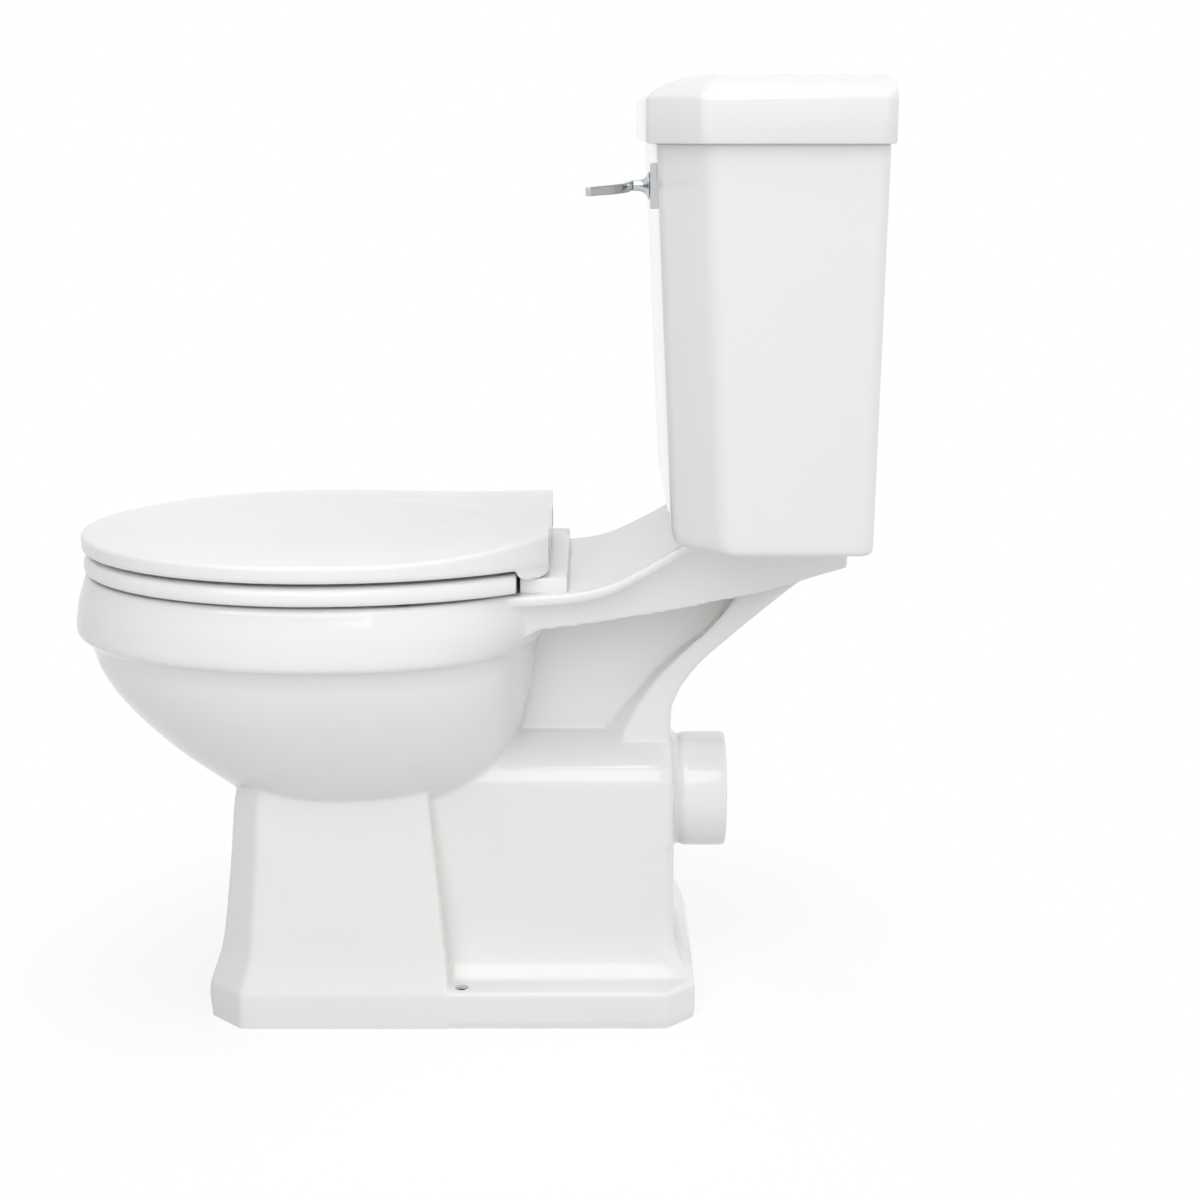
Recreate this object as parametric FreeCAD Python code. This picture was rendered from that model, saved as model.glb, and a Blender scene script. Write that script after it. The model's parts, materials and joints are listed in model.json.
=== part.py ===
import FreeCAD, Part
import math
import os

# Close-coupled toilet: ceramic pan, cistern on its shelf, hinged seat, flush lever and the fittings inside.
# Millimetres, Z up. The bowl's front points to -Y and the lever stands on the +X half of the cistern.
# The origin is on the floor, under the middle of the whole toilet.

Vector = FreeCAD.Vector
Y_AXIS = Vector(0, 1, 0)
Z_AXIS = Vector(0, 0, 1)
SIDES = (-1, 1)
BLUNT_STEPS = 12              # spans of the curve round the bowl's back
OVERSHOOT = 1.0               # how far a cutting shape runs past the face it opens
SHARP = 1.0                   # corner cut where two blocks only meet
SEAM = 0.1                    # how near the foot's clay comes to the bowl's, where slip joins them

# Pan: rim band and bowl
RIM_FRONT_Y = -337.5          # foremost point of the band
RIM_WIDEST_Y = -115.0
RIM_REAR_Y = 93.0             # where the rim's egg shape closes, inside the deck
RIM_BLUNTNESS = 2.5           # 2 is an ellipse; more makes the bowl's back squarer
RIM_HALF_WIDTH = 181.0
RIM_TOP_Z = 385.5
RIM_EDGE_ROUND = 5.0
BAND_WIDEST_DROP = 43.5       # from the rim's top down to the band's widest line
BAND_LIP_DROP = 54.5          # down to where the band turns under
BAND_HEIGHT = 63.5
BAND_TOP_INSET = 10.0
BAND_LIP_INSET = 3.0
BAND_FOOT_INSET = 12.0
BOWL_WALL = 11.0
BOWL_REAR_Y = 30.0            # back of the bowl inside, under the rim
RIM_OPENING_INSET = 49.0      # from the band's widest line to the edge of the hole in the rim
RIM_OPENING_REAR_Y = 8.0
RIM_LIP_WALL = 11.0
RIM_LIP_HEIGHT = 46.0
RIM_PLATE = 22.0              # ceramic over the flushing channel
# The bowl's outside, from inside the band down: drop below the band, then how far it draws in
# at the front, the sides and the back
BOWL_STEPS = ((-10.0, 2.0, 2.0, 13.0), (17.0, 5.0, 4.0, 17.5), (53.0, 27.0, 20.0, 24.5),
              (90.0, 63.0, 46.0, 35.0), (137.0, 131.0, 96.0, 62.0))
BOWL_BACK_STEPS = (0.0, 2.0, 8.0, 18.0, 26.0)

# Pan: sump and trapway
SUMP_FLOOR_Z = 42.0
SUMP_TOP_Z = 150.0
SUMP_FRONT_Y = -165.0
SUMP_BACK_Y = 5.0
SUMP_HALF_WIDTH = 56.0
SUMP_TAPER = 30.0             # how much the sump draws in at its floor
TRAP_SILL = 6.0               # the trapway's floor above the sump's
TRAP_BORE_R = 36.0
TRAP_WALL = 10.0
TRAP_CREST_Z = 190.0
TRAP_CREST_Y = 128.0
OUTLET_Z = 182.0
OUTLET_R = 51.0
OUTLET_BORE_R = 40.0
OUTLET_END_Y = 231.5
OUTLET_GROOVE = 7.0           # shallow ring round the spigot's root
OUTLET_GROOVE_DEPTH = 4.0

# Pan: pedestal, trap block and plinth
PLINTH_HALF_WIDTH = 113.0
PLINTH_FRONT_Y = -221.0
PLINTH_BACK_Y = 203.0
PLINTH_CHAMFER = 31.0
PLINTH_Z = 33.0
PEDESTAL_TOP_Z = 198.0
PEDESTAL_TOP_HALF_WIDTH = 88.0
PEDESTAL_TOP_FRONT_Y = -199.0
PEDESTAL_TOP_BACK_Y = -27.0
PEDESTAL_TOP_CHAMFER = 24.0
PEDESTAL_FLARE_Z = 60.0       # below this the pedestal spreads out to the plinth
PEDESTAL_FLARE_HALF_WIDTH = 103.0
PEDESTAL_FLARE_FRONT_Y = -211.0
PEDESTAL_FOOT_BACK_Y = -12.0
BLOCK_HALF_WIDTH = 72.0
BLOCK_FOOT_HALF_WIDTH = 86.0
BLOCK_BACK_Y = 183.0
BLOCK_SHOULDER_Z = 206.0
BLOCK_TOP_Z = 244.0           # crown of the block's arched top
BLOCK_SKIRT_CHAMFER = 20.0    # on the foot that spreads to the plinth
BLOCK_FOOT_BACK_Y = 196.0
CASTING_WALL = 11.0
FLOOR_HOLE_X = 100.0
FLOOR_HOLE_Y = 0.0
FLOOR_HOLE_R = 6.0
LEDGE_SEAT_R = 10.0           # flat ring round each floor hole, clear of the flare

# Pan: deck, cistern shelf and rear web
DECK_START_Y = 15.0
DECK_FLAT_END_Y = 98.0
DECK_HALF_WIDTH = 127.0
SHELF_START_Y = 212.0
SHELF_END_Y = 324.0
SHELF_Z = 438.0
SHELF_HALF_WIDTH = 113.0
SHELF_END_HALF_WIDTH = 100.0
DECK_EDGE = 12.0              # upright edge of the deck and shelf
CLIMB_FOOT = (0.73, 0.26)     # where the deck's climb steepens, as run and rise per height climbed
CLIMB_BROW = (0.38, 0.17)     # where it eases again, the same way from the shelf's front
APRON_HALF_WIDTH = 115.0      # lower edge of the sloping apron, beside the bowl
APRON_END_HALF_WIDTH = 72.0
APRON_START_Z = 351.0
APRON_RISE = 22.0             # from beside the bowl to the front of the shelf
APRON_END_Z = 402.0
# How far the apron's lower edge has climbed and drawn in at each station along the deck
APRON_SHARES = ((0.0, 0.0), (0.2, 0.2), (0.4, 0.35), (0.75, 0.6), (1.0, 0.75))
SHELF_WALL = 13.0
WEB_HALF_WIDTH = 38.0
WEB_START_Y = 30.0
WEB_FRONT_FOOT_Z = 215.0
RIB_HALF_WIDTH = 47.0
RIB_FOOT_Y = 182.0            # back of the rib where it stands on the trap block
RIB_KNEE_Y = 195.0
RIB_KNEE_Z = 296.0
RIB_HEAD_Y = 290.0
RIB_HEAD_Z = 384.0
RIB_DEPTH = 40.0              # front to back, along Y
RIB_HEAD_DEPTH = 56.0

# Cistern
TANK_HEIGHT = 310.8
TANK_TOP_HALF_WIDTH = 222.0
TANK_TOP_FRONT_Y = 161.6
TANK_TOP_BACK_Y = 333.4
TANK_BOTTOM_HALF_WIDTH = 212.0
TANK_BOTTOM_FRONT_Y = 179.4
TANK_BOTTOM_BACK_Y = 329.5
TANK_CHAMFER = 38.0
TANK_BACK_CHAMFER = 8.0
TANK_FOOT_ROUND = 7.0
TANK_WALL = 10.0
TANK_FLOOR = 12.0
WALL_SCREW_X = 150.0
WALL_SCREW_DROP = 58.8        # from the tank's top down to the screws
WALL_SCREW_R = 4.0
LID_WALL_HEIGHT = 34.1
LID_OVERHANG = 15.0
LID_FRONT_OVERHANG = 8.0
LID_BACK_Y = 337.5
LID_CHAMFER = 40.0
LID_HIP_RISE = 17.1
LID_HIP_INSET = 40.0
LID_BACK_INSET = 2.5
LID_SHELL = 11.0
LID_RIDGE_HEIGHT = 12.0       # locating ridge that hangs inside the tank's mouth
LID_RIDGE_WALL = 7.0
LID_RIDGE_GAP = 2.0

# Seat
SEAT_FRONT_Y = -329.5
SEAT_REAR_Y = 124.6           # where the seat's egg shape would close
SEAT_HALF_WIDTH = 178.9
SEAT_BACK_Y = 77.0            # straight back edge of the lid
RING_LIFT = 2.7               # height of the buffers under the ring
RING_THICKNESS = 15.8
RING_OUTER_INSET = 1.2
RING_OPENING_FRONT_Y = -258.0
RING_OPENING_REAR_Y = -22.0
RING_OPENING_HALF_WIDTH = 112.0
RING_BACK_Y = 51.0
RING_EDGE_ROUND = 5.0
LID_LIFT = 3.0                # height of the buffers under the lid
LID_THICKNESS = 13.2
LID_EDGE_ROUND = 5.0
LID_REAR_RISE = 13.8          # how far the lid's top climbs to its back edge
LID_RISE_START_Y = -42.0
LID_RISE_MID_Y = 15.0
LID_RISE_MID = 4.5
HEEL_INSET = 1.0              # the thick rear of the lid stands in from its edge
BUFFER_R = 8.0
SEAT_GAP = 0.3                # rest gap under each buffer
RING_BUFFER_PLACES = ((135.0, -190.0), (150.0, -40.0))
LID_BUFFER_PLACES = ((120.0, -210.0), (140.0, -30.0))

# Seat hinge
HINGE_Y = 66.0
HINGE_LIFT = 15.3             # pivot above the top of the hinge plate
HINGE_BARREL_R = 14.6
HINGE_PLATE_FRONT_Y = 53.7
HINGE_PLATE_BACK_Y = 92.5
HINGE_PLATE_HALF_WIDTH = 110.4
HINGE_PLATE_THICKNESS = 12.2
HINGE_POST_WIDTH = 17.0
HINGE_POST_R = 10.0
KNUCKLE_WIDTH = 18.0
KNUCKLE_R = 10.0
KNUCKLE_ARM_SETBACK = 7.0     # from the pivot forward to the arm's upper edge
HINGE_SIDE_GAP = 0.6
NOTCH_CLEARANCE = 1.2
HINGE_PIN_R = 4.0
PIN_RUNNING_FIT = 0.05
PIN_GRIP = 10.0               # how far each pin reaches into the lid on both sides
SEAT_BOLT_X = 78.0
SEAT_BOLT_R = 4.0
SEAT_BOLT_HOLE_R = 6.0
SEAT_BOLT_HEAD_R = 6.5
SEAT_BOLT_HEAD = 4.0
SEAT_BOLT_Y = 84.0
DECK_PLATE = 16.0             # thickness of the deck where the seat bolts pass
SPOT_FACE_R = 17.0            # room for the washer and wing nut under the deck

# Small fasteners
WASHER = 2.0
RUBBER_WASHER = 3.0
WASHER_R = 13.0
WASHER_RIM = 1.0              # how far a steel washer shows round its nut
WING_NUT_R = 8.0
WING_NUT = 9.0
WING_REACH = 15.0
WING_THICKNESS = 3.0
BOLT_TAIL = 6.0               # thread that stands past a wing nut
HOLE_GAP = 0.3

# Joint between tank and pan
SIPHON_X = 0.0
SIPHON_Y = 254.0
TAIL_R = 24.0
TAIL_LENGTH = 30.0            # threaded tail below the tank
INLET_R = 44.0
INLET_DEPTH = 40.0
INLET_WALL = 10.0
FLUSH_WAY_R = 15.0
FLUSH_WAY_WALL = 7.0
SIPHON_NUT_R = 37.0
SIPHON_NUT = 13.0
COUPLING_BOLT_X = 74.0
COUPLING_BOLT_R = 4.0
COUPLING_HEAD_R = 9.0
COUPLING_HEAD = 5.0

# Flushing siphon
SIPHON_FLANGE_R = 36.0
SIPHON_FLANGE = 5.0
SIPHON_LEG_R = 22.0
SIPHON_SKIN = 3.0
SIPHON_LEG_SPACING = 72.0
SIPHON_ARCH_DROP = 128.8      # from the tank's top down to where the legs begin to bend
CHAMBER_R = 42.0
CHAMBER_FOOT = 12.0           # gap under the chamber for water to enter
CHAMBER_HEIGHT = 74.0
ROD_R = 3.0
ROD_HOLE_GAP = 1.0
PLUNGER_R = 37.0
PLUNGER = 4.0
PLUNGER_LIFT = 8.0            # plunger above the chamber's mouth
PLUNGER_HOLE_R = 7.4
PLUNGER_HOLES_R = 22.2        # radius of the ring of holes
DIAPHRAGM = 1.5
DIAPHRAGM_OVERHANG = 0.8

# Flush lever
LEVER_SETIN = 67.0            # from the tank's side at its top in to the spindle
LEVER_DROP = 31.8             # from the tank's top down to the spindle
LEVER_PLATE = 34.0
LEVER_PLATE_THICKNESS = 6.0
SPINDLE_R = 5.0
BUSH_R = 10.0
BUSH_LENGTH = 36.0
LEVER_NUT_R = 17.0
LEVER_NUT = 8.0
NECK_R = 13.0
NECK_REACH = 14.0
ARM_R = 4.6
ARM_ELBOW_X = 40.0            # along X from the hub to where the arm bends forward
ARM_ELBOW_Y = 8.0
ARM_TIP_X = 70.0
ARM_TIP_Y = 34.0
TRIP_REST_DEG = 15.0          # the trip arm rests this far below level
TRIP_ARM_HEIGHT = 12.0
TRIP_ARM_THICKNESS = 4.0
TRIP_HUB_R = 9.0
TRIP_HUB = 8.0
TRIP_HUB_GAP = 1.0            # from the end of the bush to the hub
TRIP_PEG_R = 3.0
TRIP_PEG = 13.0
TRIP_SCREW_R = 2.5
LINK_THICKNESS = 3.0
LINK_FRAME = 4.0
LINK_PLAY_X = 2.0
LINK_PLAY_Z = 0.3

# Fill valve
VALVE_X = -160.0
VALVE_TAIL_R = 10.48          # half-inch pipe thread
VALVE_TAIL = 42.0
VALVE_SHANK_R = 11.0          # through the tank's floor and the back nut
VALVE_FLANGE_R = 17.0
VALVE_FLANGE = 4.0
VALVE_STEM_R = 12.0
VALVE_STEM_TOP_Z = 648.0
VALVE_BORE_R = 5.0
VALVE_NUT_R = 17.0
VALVE_NUT = 9.0
VALVE_HEAD_R = 18.0
VALVE_HEAD = 38.0
FLOAT_PIVOT_X = 26.0          # from the stem to the float arm's pivot
FLOAT_PIVOT_DROP = 10.0
FLOAT_PIN_R = 2.5
FLOAT_ARM_LENGTH = 62.0
FLOAT_ARM_REST_DEG = 12.0
FLOAT_ARM_HEIGHT = 8.0
FLOAT_ARM_WIDTH = 9.0
LUG_WIDTH = 4.0
LUG_R = 6.0
FLOAT_R = 28.0
FLOAT_HEIGHT = 52.0
FLOAT_SKIN = 2.0
FLOAT_STUD_R = 3.0
FLOAT_STUD = 12.0

# Heights worked out from the sizes above
DECK_Z = RIM_TOP_Z
BAND_FOOT_Z = RIM_TOP_Z - BAND_HEIGHT
RING_BOTTOM_Z = RIM_TOP_Z + RING_LIFT
RING_TOP_Z = RING_BOTTOM_Z + RING_THICKNESS
LID_BOTTOM_Z = RING_TOP_Z + LID_LIFT
LID_TOP_Z = LID_BOTTOM_Z + LID_THICKNESS
HINGE_PLATE_TOP_Z = DECK_Z + HINGE_PLATE_THICKNESS
HINGE_Z = HINGE_PLATE_TOP_Z + HINGE_LIFT
TANK_BOTTOM_Z = SHELF_Z
TANK_TOP_Z = TANK_BOTTOM_Z + TANK_HEIGHT
TANK_FLOOR_Z = TANK_BOTTOM_Z + TANK_FLOOR
SEAL_TOP_Z = TANK_FLOOR_Z + RUBBER_WASHER
LID_WALL_TOP_Z = TANK_TOP_Z + LID_WALL_HEIGHT
LID_HALF_WIDTH = TANK_TOP_HALF_WIDTH + LID_OVERHANG
LID_FRONT_Y = TANK_TOP_FRONT_Y - LID_FRONT_OVERHANG
LEVER_X = TANK_TOP_HALF_WIDTH - LEVER_SETIN
LEVER_Z = TANK_TOP_Z - LEVER_DROP
WALL_SCREW_Z = TANK_TOP_Z - WALL_SCREW_DROP
SIPHON_ARCH_Z = TANK_TOP_Z - SIPHON_ARCH_DROP
ROD_X = SIPHON_X + SIPHON_LEG_SPACING
CHAMBER_Z = TANK_FLOOR_Z + CHAMBER_FOOT
TRIP_REACH = LEVER_X - ROD_X
INLET_FLOOR_Z = SHELF_Z - INLET_DEPTH

os.makedirs("parts", exist_ok=True)


def box(x0, x1, y0, y1, z0, z1):
    """A block between two corners."""
    return Part.makeBox(x1 - x0, y1 - y0, z1 - z0, Vector(x0, y0, z0))


def rod(radius, start, end):
    """A round bar from one point to another."""
    return Part.makeCylinder(radius, (end - start).Length, start, end - start)


def upright(radius, x, y, z0, z1):
    """A round bar standing on a point."""
    return Part.makeCylinder(radius, z1 - z0, Vector(x, y, z0))


def ring(outer_radius, inner_radius, x, y, z0, z1):
    """A flat upright ring."""
    return upright(outer_radius, x, y, z0, z1).cut(upright(inner_radius, x, y, z0, z1))


def pipe(points, radius):
    """Round bars through a row of points, with a ball at each turn and at the end."""
    bars = [rod(radius, start, end) for start, end in zip(points, points[1:])]
    balls = [Part.makeSphere(radius, point) for point in points[1:]]
    return bars[0].fuse(bars[1:] + balls)


def polygon(points):
    """A closed wire through the points."""
    return Part.makePolygon(list(points) + [points[0]])


def extruded(points, direction):
    """A prism on a flat outline."""
    return Part.Face(polygon(points)).extrude(direction)


def side_plate(profile, half_width):
    """A plate across X with the (Y, Z) profile."""
    outline = [Vector(-half_width, y, z) for y, z in profile]
    return extruded(outline, Vector(2 * half_width, 0, 0))


def half_ellipse(half_width, reach, middle_y, z, first_deg):
    """Half of an ellipse in plan, 180 degrees on from the first angle."""
    arc = Part.makeCircle(1, Vector(0, 0, 0), Z_AXIS, first_deg, first_deg + 180)
    stretch = FreeCAD.Matrix()
    stretch.scale(half_width, reach, 1)
    stretch.move(Vector(0, middle_y, z))
    return arc.transformGeometry(stretch)


def blunt_half(half_width, reach, middle_y, z):
    """The back half of an outline that is squarer than an ellipse, from the +X side round to the -X side."""
    points = []
    for step in range(BLUNT_STEPS + 1):
        turn = math.pi * step / BLUNT_STEPS
        along = math.copysign(abs(math.cos(turn)) ** (2 / RIM_BLUNTNESS), math.cos(turn))
        back = math.sin(turn) ** (2 / RIM_BLUNTNESS) if 0 < step < BLUNT_STEPS else 0.0
        points.append(Vector(half_width * along, middle_y + reach * back, z))
    curve = Part.BSplineCurve()
    backward = Vector(0, reach * math.pi, 0)
    curve.interpolate(Points=points, Parameters=[step / BLUNT_STEPS for step in range(BLUNT_STEPS + 1)],
                      InitialTangent=backward, FinalTangent=-backward)
    return curve.toShape()


def egg(front, rear, half_width, z, widest=RIM_WIDEST_Y):
    """An egg-shaped outline in plan, widest at one line."""
    back_half = half_ellipse(half_width, rear - widest, widest, z, 0)
    front_half = half_ellipse(half_width, widest - front, widest, z, 180)
    return Part.Wire([back_half, front_half])


def blunt_egg(front, rear, half_width, z):
    """The rim's and the bowl's outline in plan: an ellipse in front and a blunter back."""
    front_half = half_ellipse(half_width, RIM_WIDEST_Y - front, RIM_WIDEST_Y, z, 180)
    return Part.Wire([blunt_half(half_width, rear - RIM_WIDEST_Y, RIM_WIDEST_Y, z), front_half])


def egg_plate(front, rear, half_width, z0, z1):
    """A flat plate on an egg-shaped outline."""
    return Part.Face(egg(front, rear, half_width, z0)).extrude(Vector(0, 0, z1 - z0))


def loft(wires, ruled=False):
    """A solid through a row of outlines."""
    return Part.makeLoft(wires, True, ruled)


def cut_corners(half_width, front, back, front_cut, back_cut, z):
    """A rectangle in plan with its corners cut off at 45 degrees."""
    right = [(half_width - front_cut, front), (half_width, front + front_cut),
             (half_width, back - back_cut), (half_width - back_cut, back)]
    left = [(-x, y) for x, y in reversed(right)]
    return polygon([Vector(x, y, z) for x, y in right + left])


def inset_corners(half_width, front, back, front_cut, back_cut, z, inset):
    """The same outline drawn in evenly on every side."""
    shorter = inset * (2 - math.sqrt(2))
    return cut_corners(half_width - inset, front + inset, back - inset,
                       front_cut - shorter, max(back_cut - shorter, SHARP), z)


def rounded_top(solid, radius, z):
    """Rounds the level edges that lie at one height."""
    level = [edge for edge in solid.Edges
             if abs(edge.BoundBox.ZMin - z) < 0.01 and abs(edge.BoundBox.ZMax - z) < 0.01]
    return solid.makeFillet(radius, level)


def both_sides(make):
    """The same piece on both sides of the middle, as one group."""
    return Part.makeCompound([make(side) for side in SIDES])


def wing_nut(x, y, top, bolt_r):
    """A wing nut that hangs under a face, with its wings along Y."""
    body = upright(WING_NUT_R, x, y, top - WING_NUT, top)
    wings = box(x - WING_THICKNESS / 2, x + WING_THICKNESS / 2, y - WING_REACH, y + WING_REACH,
                top - WING_NUT, top - WASHER)
    return body.fuse(wings).cut(upright(bolt_r, x, y, top - WING_NUT, top))


def hexagon(radius, x, y, z0, z1):
    """An upright six-sided nut blank."""
    turns = [math.radians(60 * corner) for corner in range(6)]
    outline = [Vector(x + radius * math.cos(turn), y + radius * math.sin(turn), z0) for turn in turns]
    return extruded(outline, Vector(0, 0, z1 - z0))


def save(name, shape):
    """Writes one piece to its own file and prints its size."""
    print(name, len(shape.Solids), "solids", round(shape.Volume / 1000, 1), "cm3", shape.isValid())
    shape.exportStep("parts/" + name + ".step")


def rim_egg(inset, z):
    """The rim's outline, drawn in from its widest line."""
    return blunt_egg(RIM_FRONT_Y + inset, RIM_REAR_Y - inset, RIM_HALF_WIDTH - inset, z)


def bowl_outside(seam=0.0):
    """The flared band under the rim and the bowl below it, or the room that they take with a seam."""
    rows = [rim_egg(BAND_FOOT_INSET - seam, BAND_FOOT_Z),
            rim_egg(BAND_LIP_INSET - seam, RIM_TOP_Z - BAND_LIP_DROP),
            rim_egg(-seam, RIM_TOP_Z - BAND_WIDEST_DROP)]
    for degrees in (0, 30, 60, 90):
        turn = math.radians(degrees)
        rows.append(rim_egg(BAND_TOP_INSET - seam + RIM_EDGE_ROUND * (1 - math.cos(turn)),
                            RIM_TOP_Z - RIM_EDGE_ROUND * (1 - math.sin(turn))))
    band = loft(rows, True)
    inset = BAND_FOOT_INSET - seam
    levels = []
    for drop, front_in, side_in, rear_in in BOWL_STEPS:
        levels.append(blunt_egg(RIM_FRONT_Y + inset + front_in, RIM_REAR_Y - inset - rear_in,
                                RIM_HALF_WIDTH - inset - side_in, BAND_FOOT_Z - drop - seam))
    return band.fuse(loft(levels))


def bowl_inside():
    """The hollow of the bowl, from the flushing channel down to the sump's floor."""
    roof_z = RIM_TOP_Z - RIM_PLATE
    wall = BAND_FOOT_INSET + BOWL_WALL
    levels = [egg(RIM_FRONT_Y + wall, BOWL_REAR_Y, RIM_HALF_WIDTH - wall, roof_z)]
    for step in range(1, len(BOWL_STEPS)):
        levels.append(bowl_level(step, 0))
    return loft(levels).fuse(sump(0))


def bowl_level(step, wall):
    """One outline of the bowl's hollow, or of its outside where a wall is given."""
    drop, front_in, side_in, rear_in = BOWL_STEPS[step]
    inset = BAND_FOOT_INSET + BOWL_WALL - wall
    return egg(RIM_FRONT_Y + inset + front_in, BOWL_REAR_Y - BOWL_BACK_STEPS[step] + wall,
               RIM_HALF_WIDTH - inset - side_in, BAND_FOOT_Z - drop + BOWL_WALL / 2)


def sump(wall):
    """The pool under the bowl, or its outside where a wall is given."""
    middle = (SUMP_FRONT_Y + SUMP_BACK_Y) / 2
    mouth = bowl_level(-1, wall)
    top = egg(SUMP_FRONT_Y - wall, SUMP_BACK_Y + wall, SUMP_HALF_WIDTH + wall, SUMP_TOP_Z, middle)
    floor = egg(SUMP_FRONT_Y + SUMP_TAPER - wall, SUMP_BACK_Y - SUMP_TAPER / 2 + wall,
                SUMP_HALF_WIDTH - SUMP_TAPER / 2 + wall, SUMP_FLOOR_Z - wall, middle)
    return loft([mouth, top], True).fuse(loft([top, floor], True))


def trap_path():
    """The trapway's middle line, from the sump over the crest to the outlet."""
    low_z = SUMP_FLOOR_Z + TRAP_SILL + TRAP_BORE_R
    return [Vector(0, SUMP_BACK_Y - 2 * TRAP_BORE_R, low_z), Vector(0, SUMP_BACK_Y, low_z),
            Vector(0, TRAP_CREST_Y - TRAP_BORE_R, TRAP_CREST_Z - TRAP_WALL),
            Vector(0, TRAP_CREST_Y, TRAP_CREST_Z), Vector(0, BLOCK_BACK_Y - CASTING_WALL, OUTLET_Z)]


def pedestal(inset, z0):
    """The flared front pedestal, or the hollow inside it."""
    foot = inset_corners(PLINTH_HALF_WIDTH, PLINTH_FRONT_Y, PEDESTAL_FOOT_BACK_Y, PLINTH_CHAMFER, SHARP, z0,
                         inset)
    ankle = inset_corners(PLINTH_HALF_WIDTH, PLINTH_FRONT_Y, PEDESTAL_FOOT_BACK_Y, PLINTH_CHAMFER, SHARP,
                          PLINTH_Z, inset)
    flare = inset_corners(PEDESTAL_FLARE_HALF_WIDTH, PEDESTAL_FLARE_FRONT_Y, PEDESTAL_FOOT_BACK_Y,
                          PLINTH_CHAMFER, SHARP, PEDESTAL_FLARE_Z, inset)
    top = inset_corners(PEDESTAL_TOP_HALF_WIDTH, PEDESTAL_TOP_FRONT_Y, PEDESTAL_TOP_BACK_Y,
                        PEDESTAL_TOP_CHAMFER, SHARP, PEDESTAL_TOP_Z - inset, inset)
    return loft([foot, ankle, flare, top], True)


def trap_block(inset, z0):
    """The block behind the pedestal that hides the trapway, or the hollow inside it."""
    half_width = BLOCK_HALF_WIDTH - inset
    foot = BLOCK_FOOT_HALF_WIDTH - inset
    shoulder_z = BLOCK_SHOULDER_Z - inset
    start_y = PEDESTAL_TOP_BACK_Y - CASTING_WALL - inset
    crown = Part.Arc(Vector(half_width, start_y, shoulder_z), Vector(0, start_y, BLOCK_TOP_Z - inset),
                     Vector(-half_width, start_y, shoulder_z)).toShape()
    sides = Part.makePolygon([Vector(x, start_y, z) for x, z in (
        (-half_width, shoulder_z), (-half_width, PEDESTAL_FLARE_Z), (-foot, PLINTH_Z), (-foot, z0),
        (foot, z0), (foot, PLINTH_Z), (half_width, PEDESTAL_FLARE_Z), (half_width, shoulder_z))])
    section = Part.Face(Part.Wire([crown] + sides.Edges))
    return section.extrude(Vector(0, BLOCK_BACK_Y - inset - start_y, 0))


def deck_section(y, half_width, top, apron_z, apron_half_width):
    """One outline across the deck: flat top, upright edge and sloping apron."""
    right = [(half_width, top), (half_width, top - DECK_EDGE), (apron_half_width, apron_z)]
    left = [(-x, z) for x, z in reversed(right)]
    return polygon([Vector(x, y, z) for x, z in right + left])


def deck_stations(wall):
    """Places along the deck: Y, half width, top, and the apron's lower edge as height and half width."""
    climb = SHELF_Z - DECK_Z
    middle_half_width = (DECK_HALF_WIDTH + SHELF_HALF_WIDTH) / 2
    tops = ((DECK_START_Y, DECK_HALF_WIDTH, DECK_Z),
            (DECK_FLAT_END_Y, DECK_HALF_WIDTH, DECK_Z),
            (DECK_FLAT_END_Y + climb * CLIMB_FOOT[0], middle_half_width, DECK_Z + climb * CLIMB_FOOT[1]),
            (SHELF_START_Y - climb * CLIMB_BROW[0], SHELF_HALF_WIDTH, SHELF_Z - climb * CLIMB_BROW[1]),
            (SHELF_START_Y, SHELF_HALF_WIDTH, SHELF_Z))
    stations = []
    for (y, half_width, top), (rise, narrow) in zip(tops, APRON_SHARES):
        apron = APRON_HALF_WIDTH + narrow * (APRON_END_HALF_WIDTH - APRON_HALF_WIDTH)
        apron_z = APRON_START_Z + rise * APRON_RISE
        stations.append((y, half_width - wall, top - wall, apron_z + wall, apron - wall))
    stations.append((SHELF_END_Y, SHELF_END_HALF_WIDTH - wall, SHELF_Z - wall, APRON_END_Z + wall,
                     APRON_END_HALF_WIDTH - wall))
    return stations


def deck():
    """The seat deck that climbs to the cistern's shelf."""
    return loft([deck_section(*station) for station in deck_stations(0)], True)


def deck_hollow():
    """The space under the deck and the shelf, open below and behind to reach the nuts."""
    seat_bolts = (SEAT_BOLT_Y - SPOT_FACE_R, DECK_HALF_WIDTH - SHELF_WALL, DECK_Z - DECK_PLATE,
                  APRON_START_Z - DECK_EDGE, APRON_HALF_WIDTH - SHELF_WALL)
    sections = [deck_section(*seat_bolts)]
    for y, half_width, top, apron_z, apron in deck_stations(SHELF_WALL)[1:]:
        top_z = DECK_Z - DECK_PLATE if y == DECK_FLAT_END_Y else top
        sections.append(deck_section(y, half_width, top_z, apron_z - 2 * SHELF_WALL, apron))
    last = list(deck_stations(SHELF_WALL)[-1])
    last[0] += SHELF_WALL
    last[3] -= 2 * SHELF_WALL
    return loft(sections + [deck_section(*last)], True)


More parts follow.
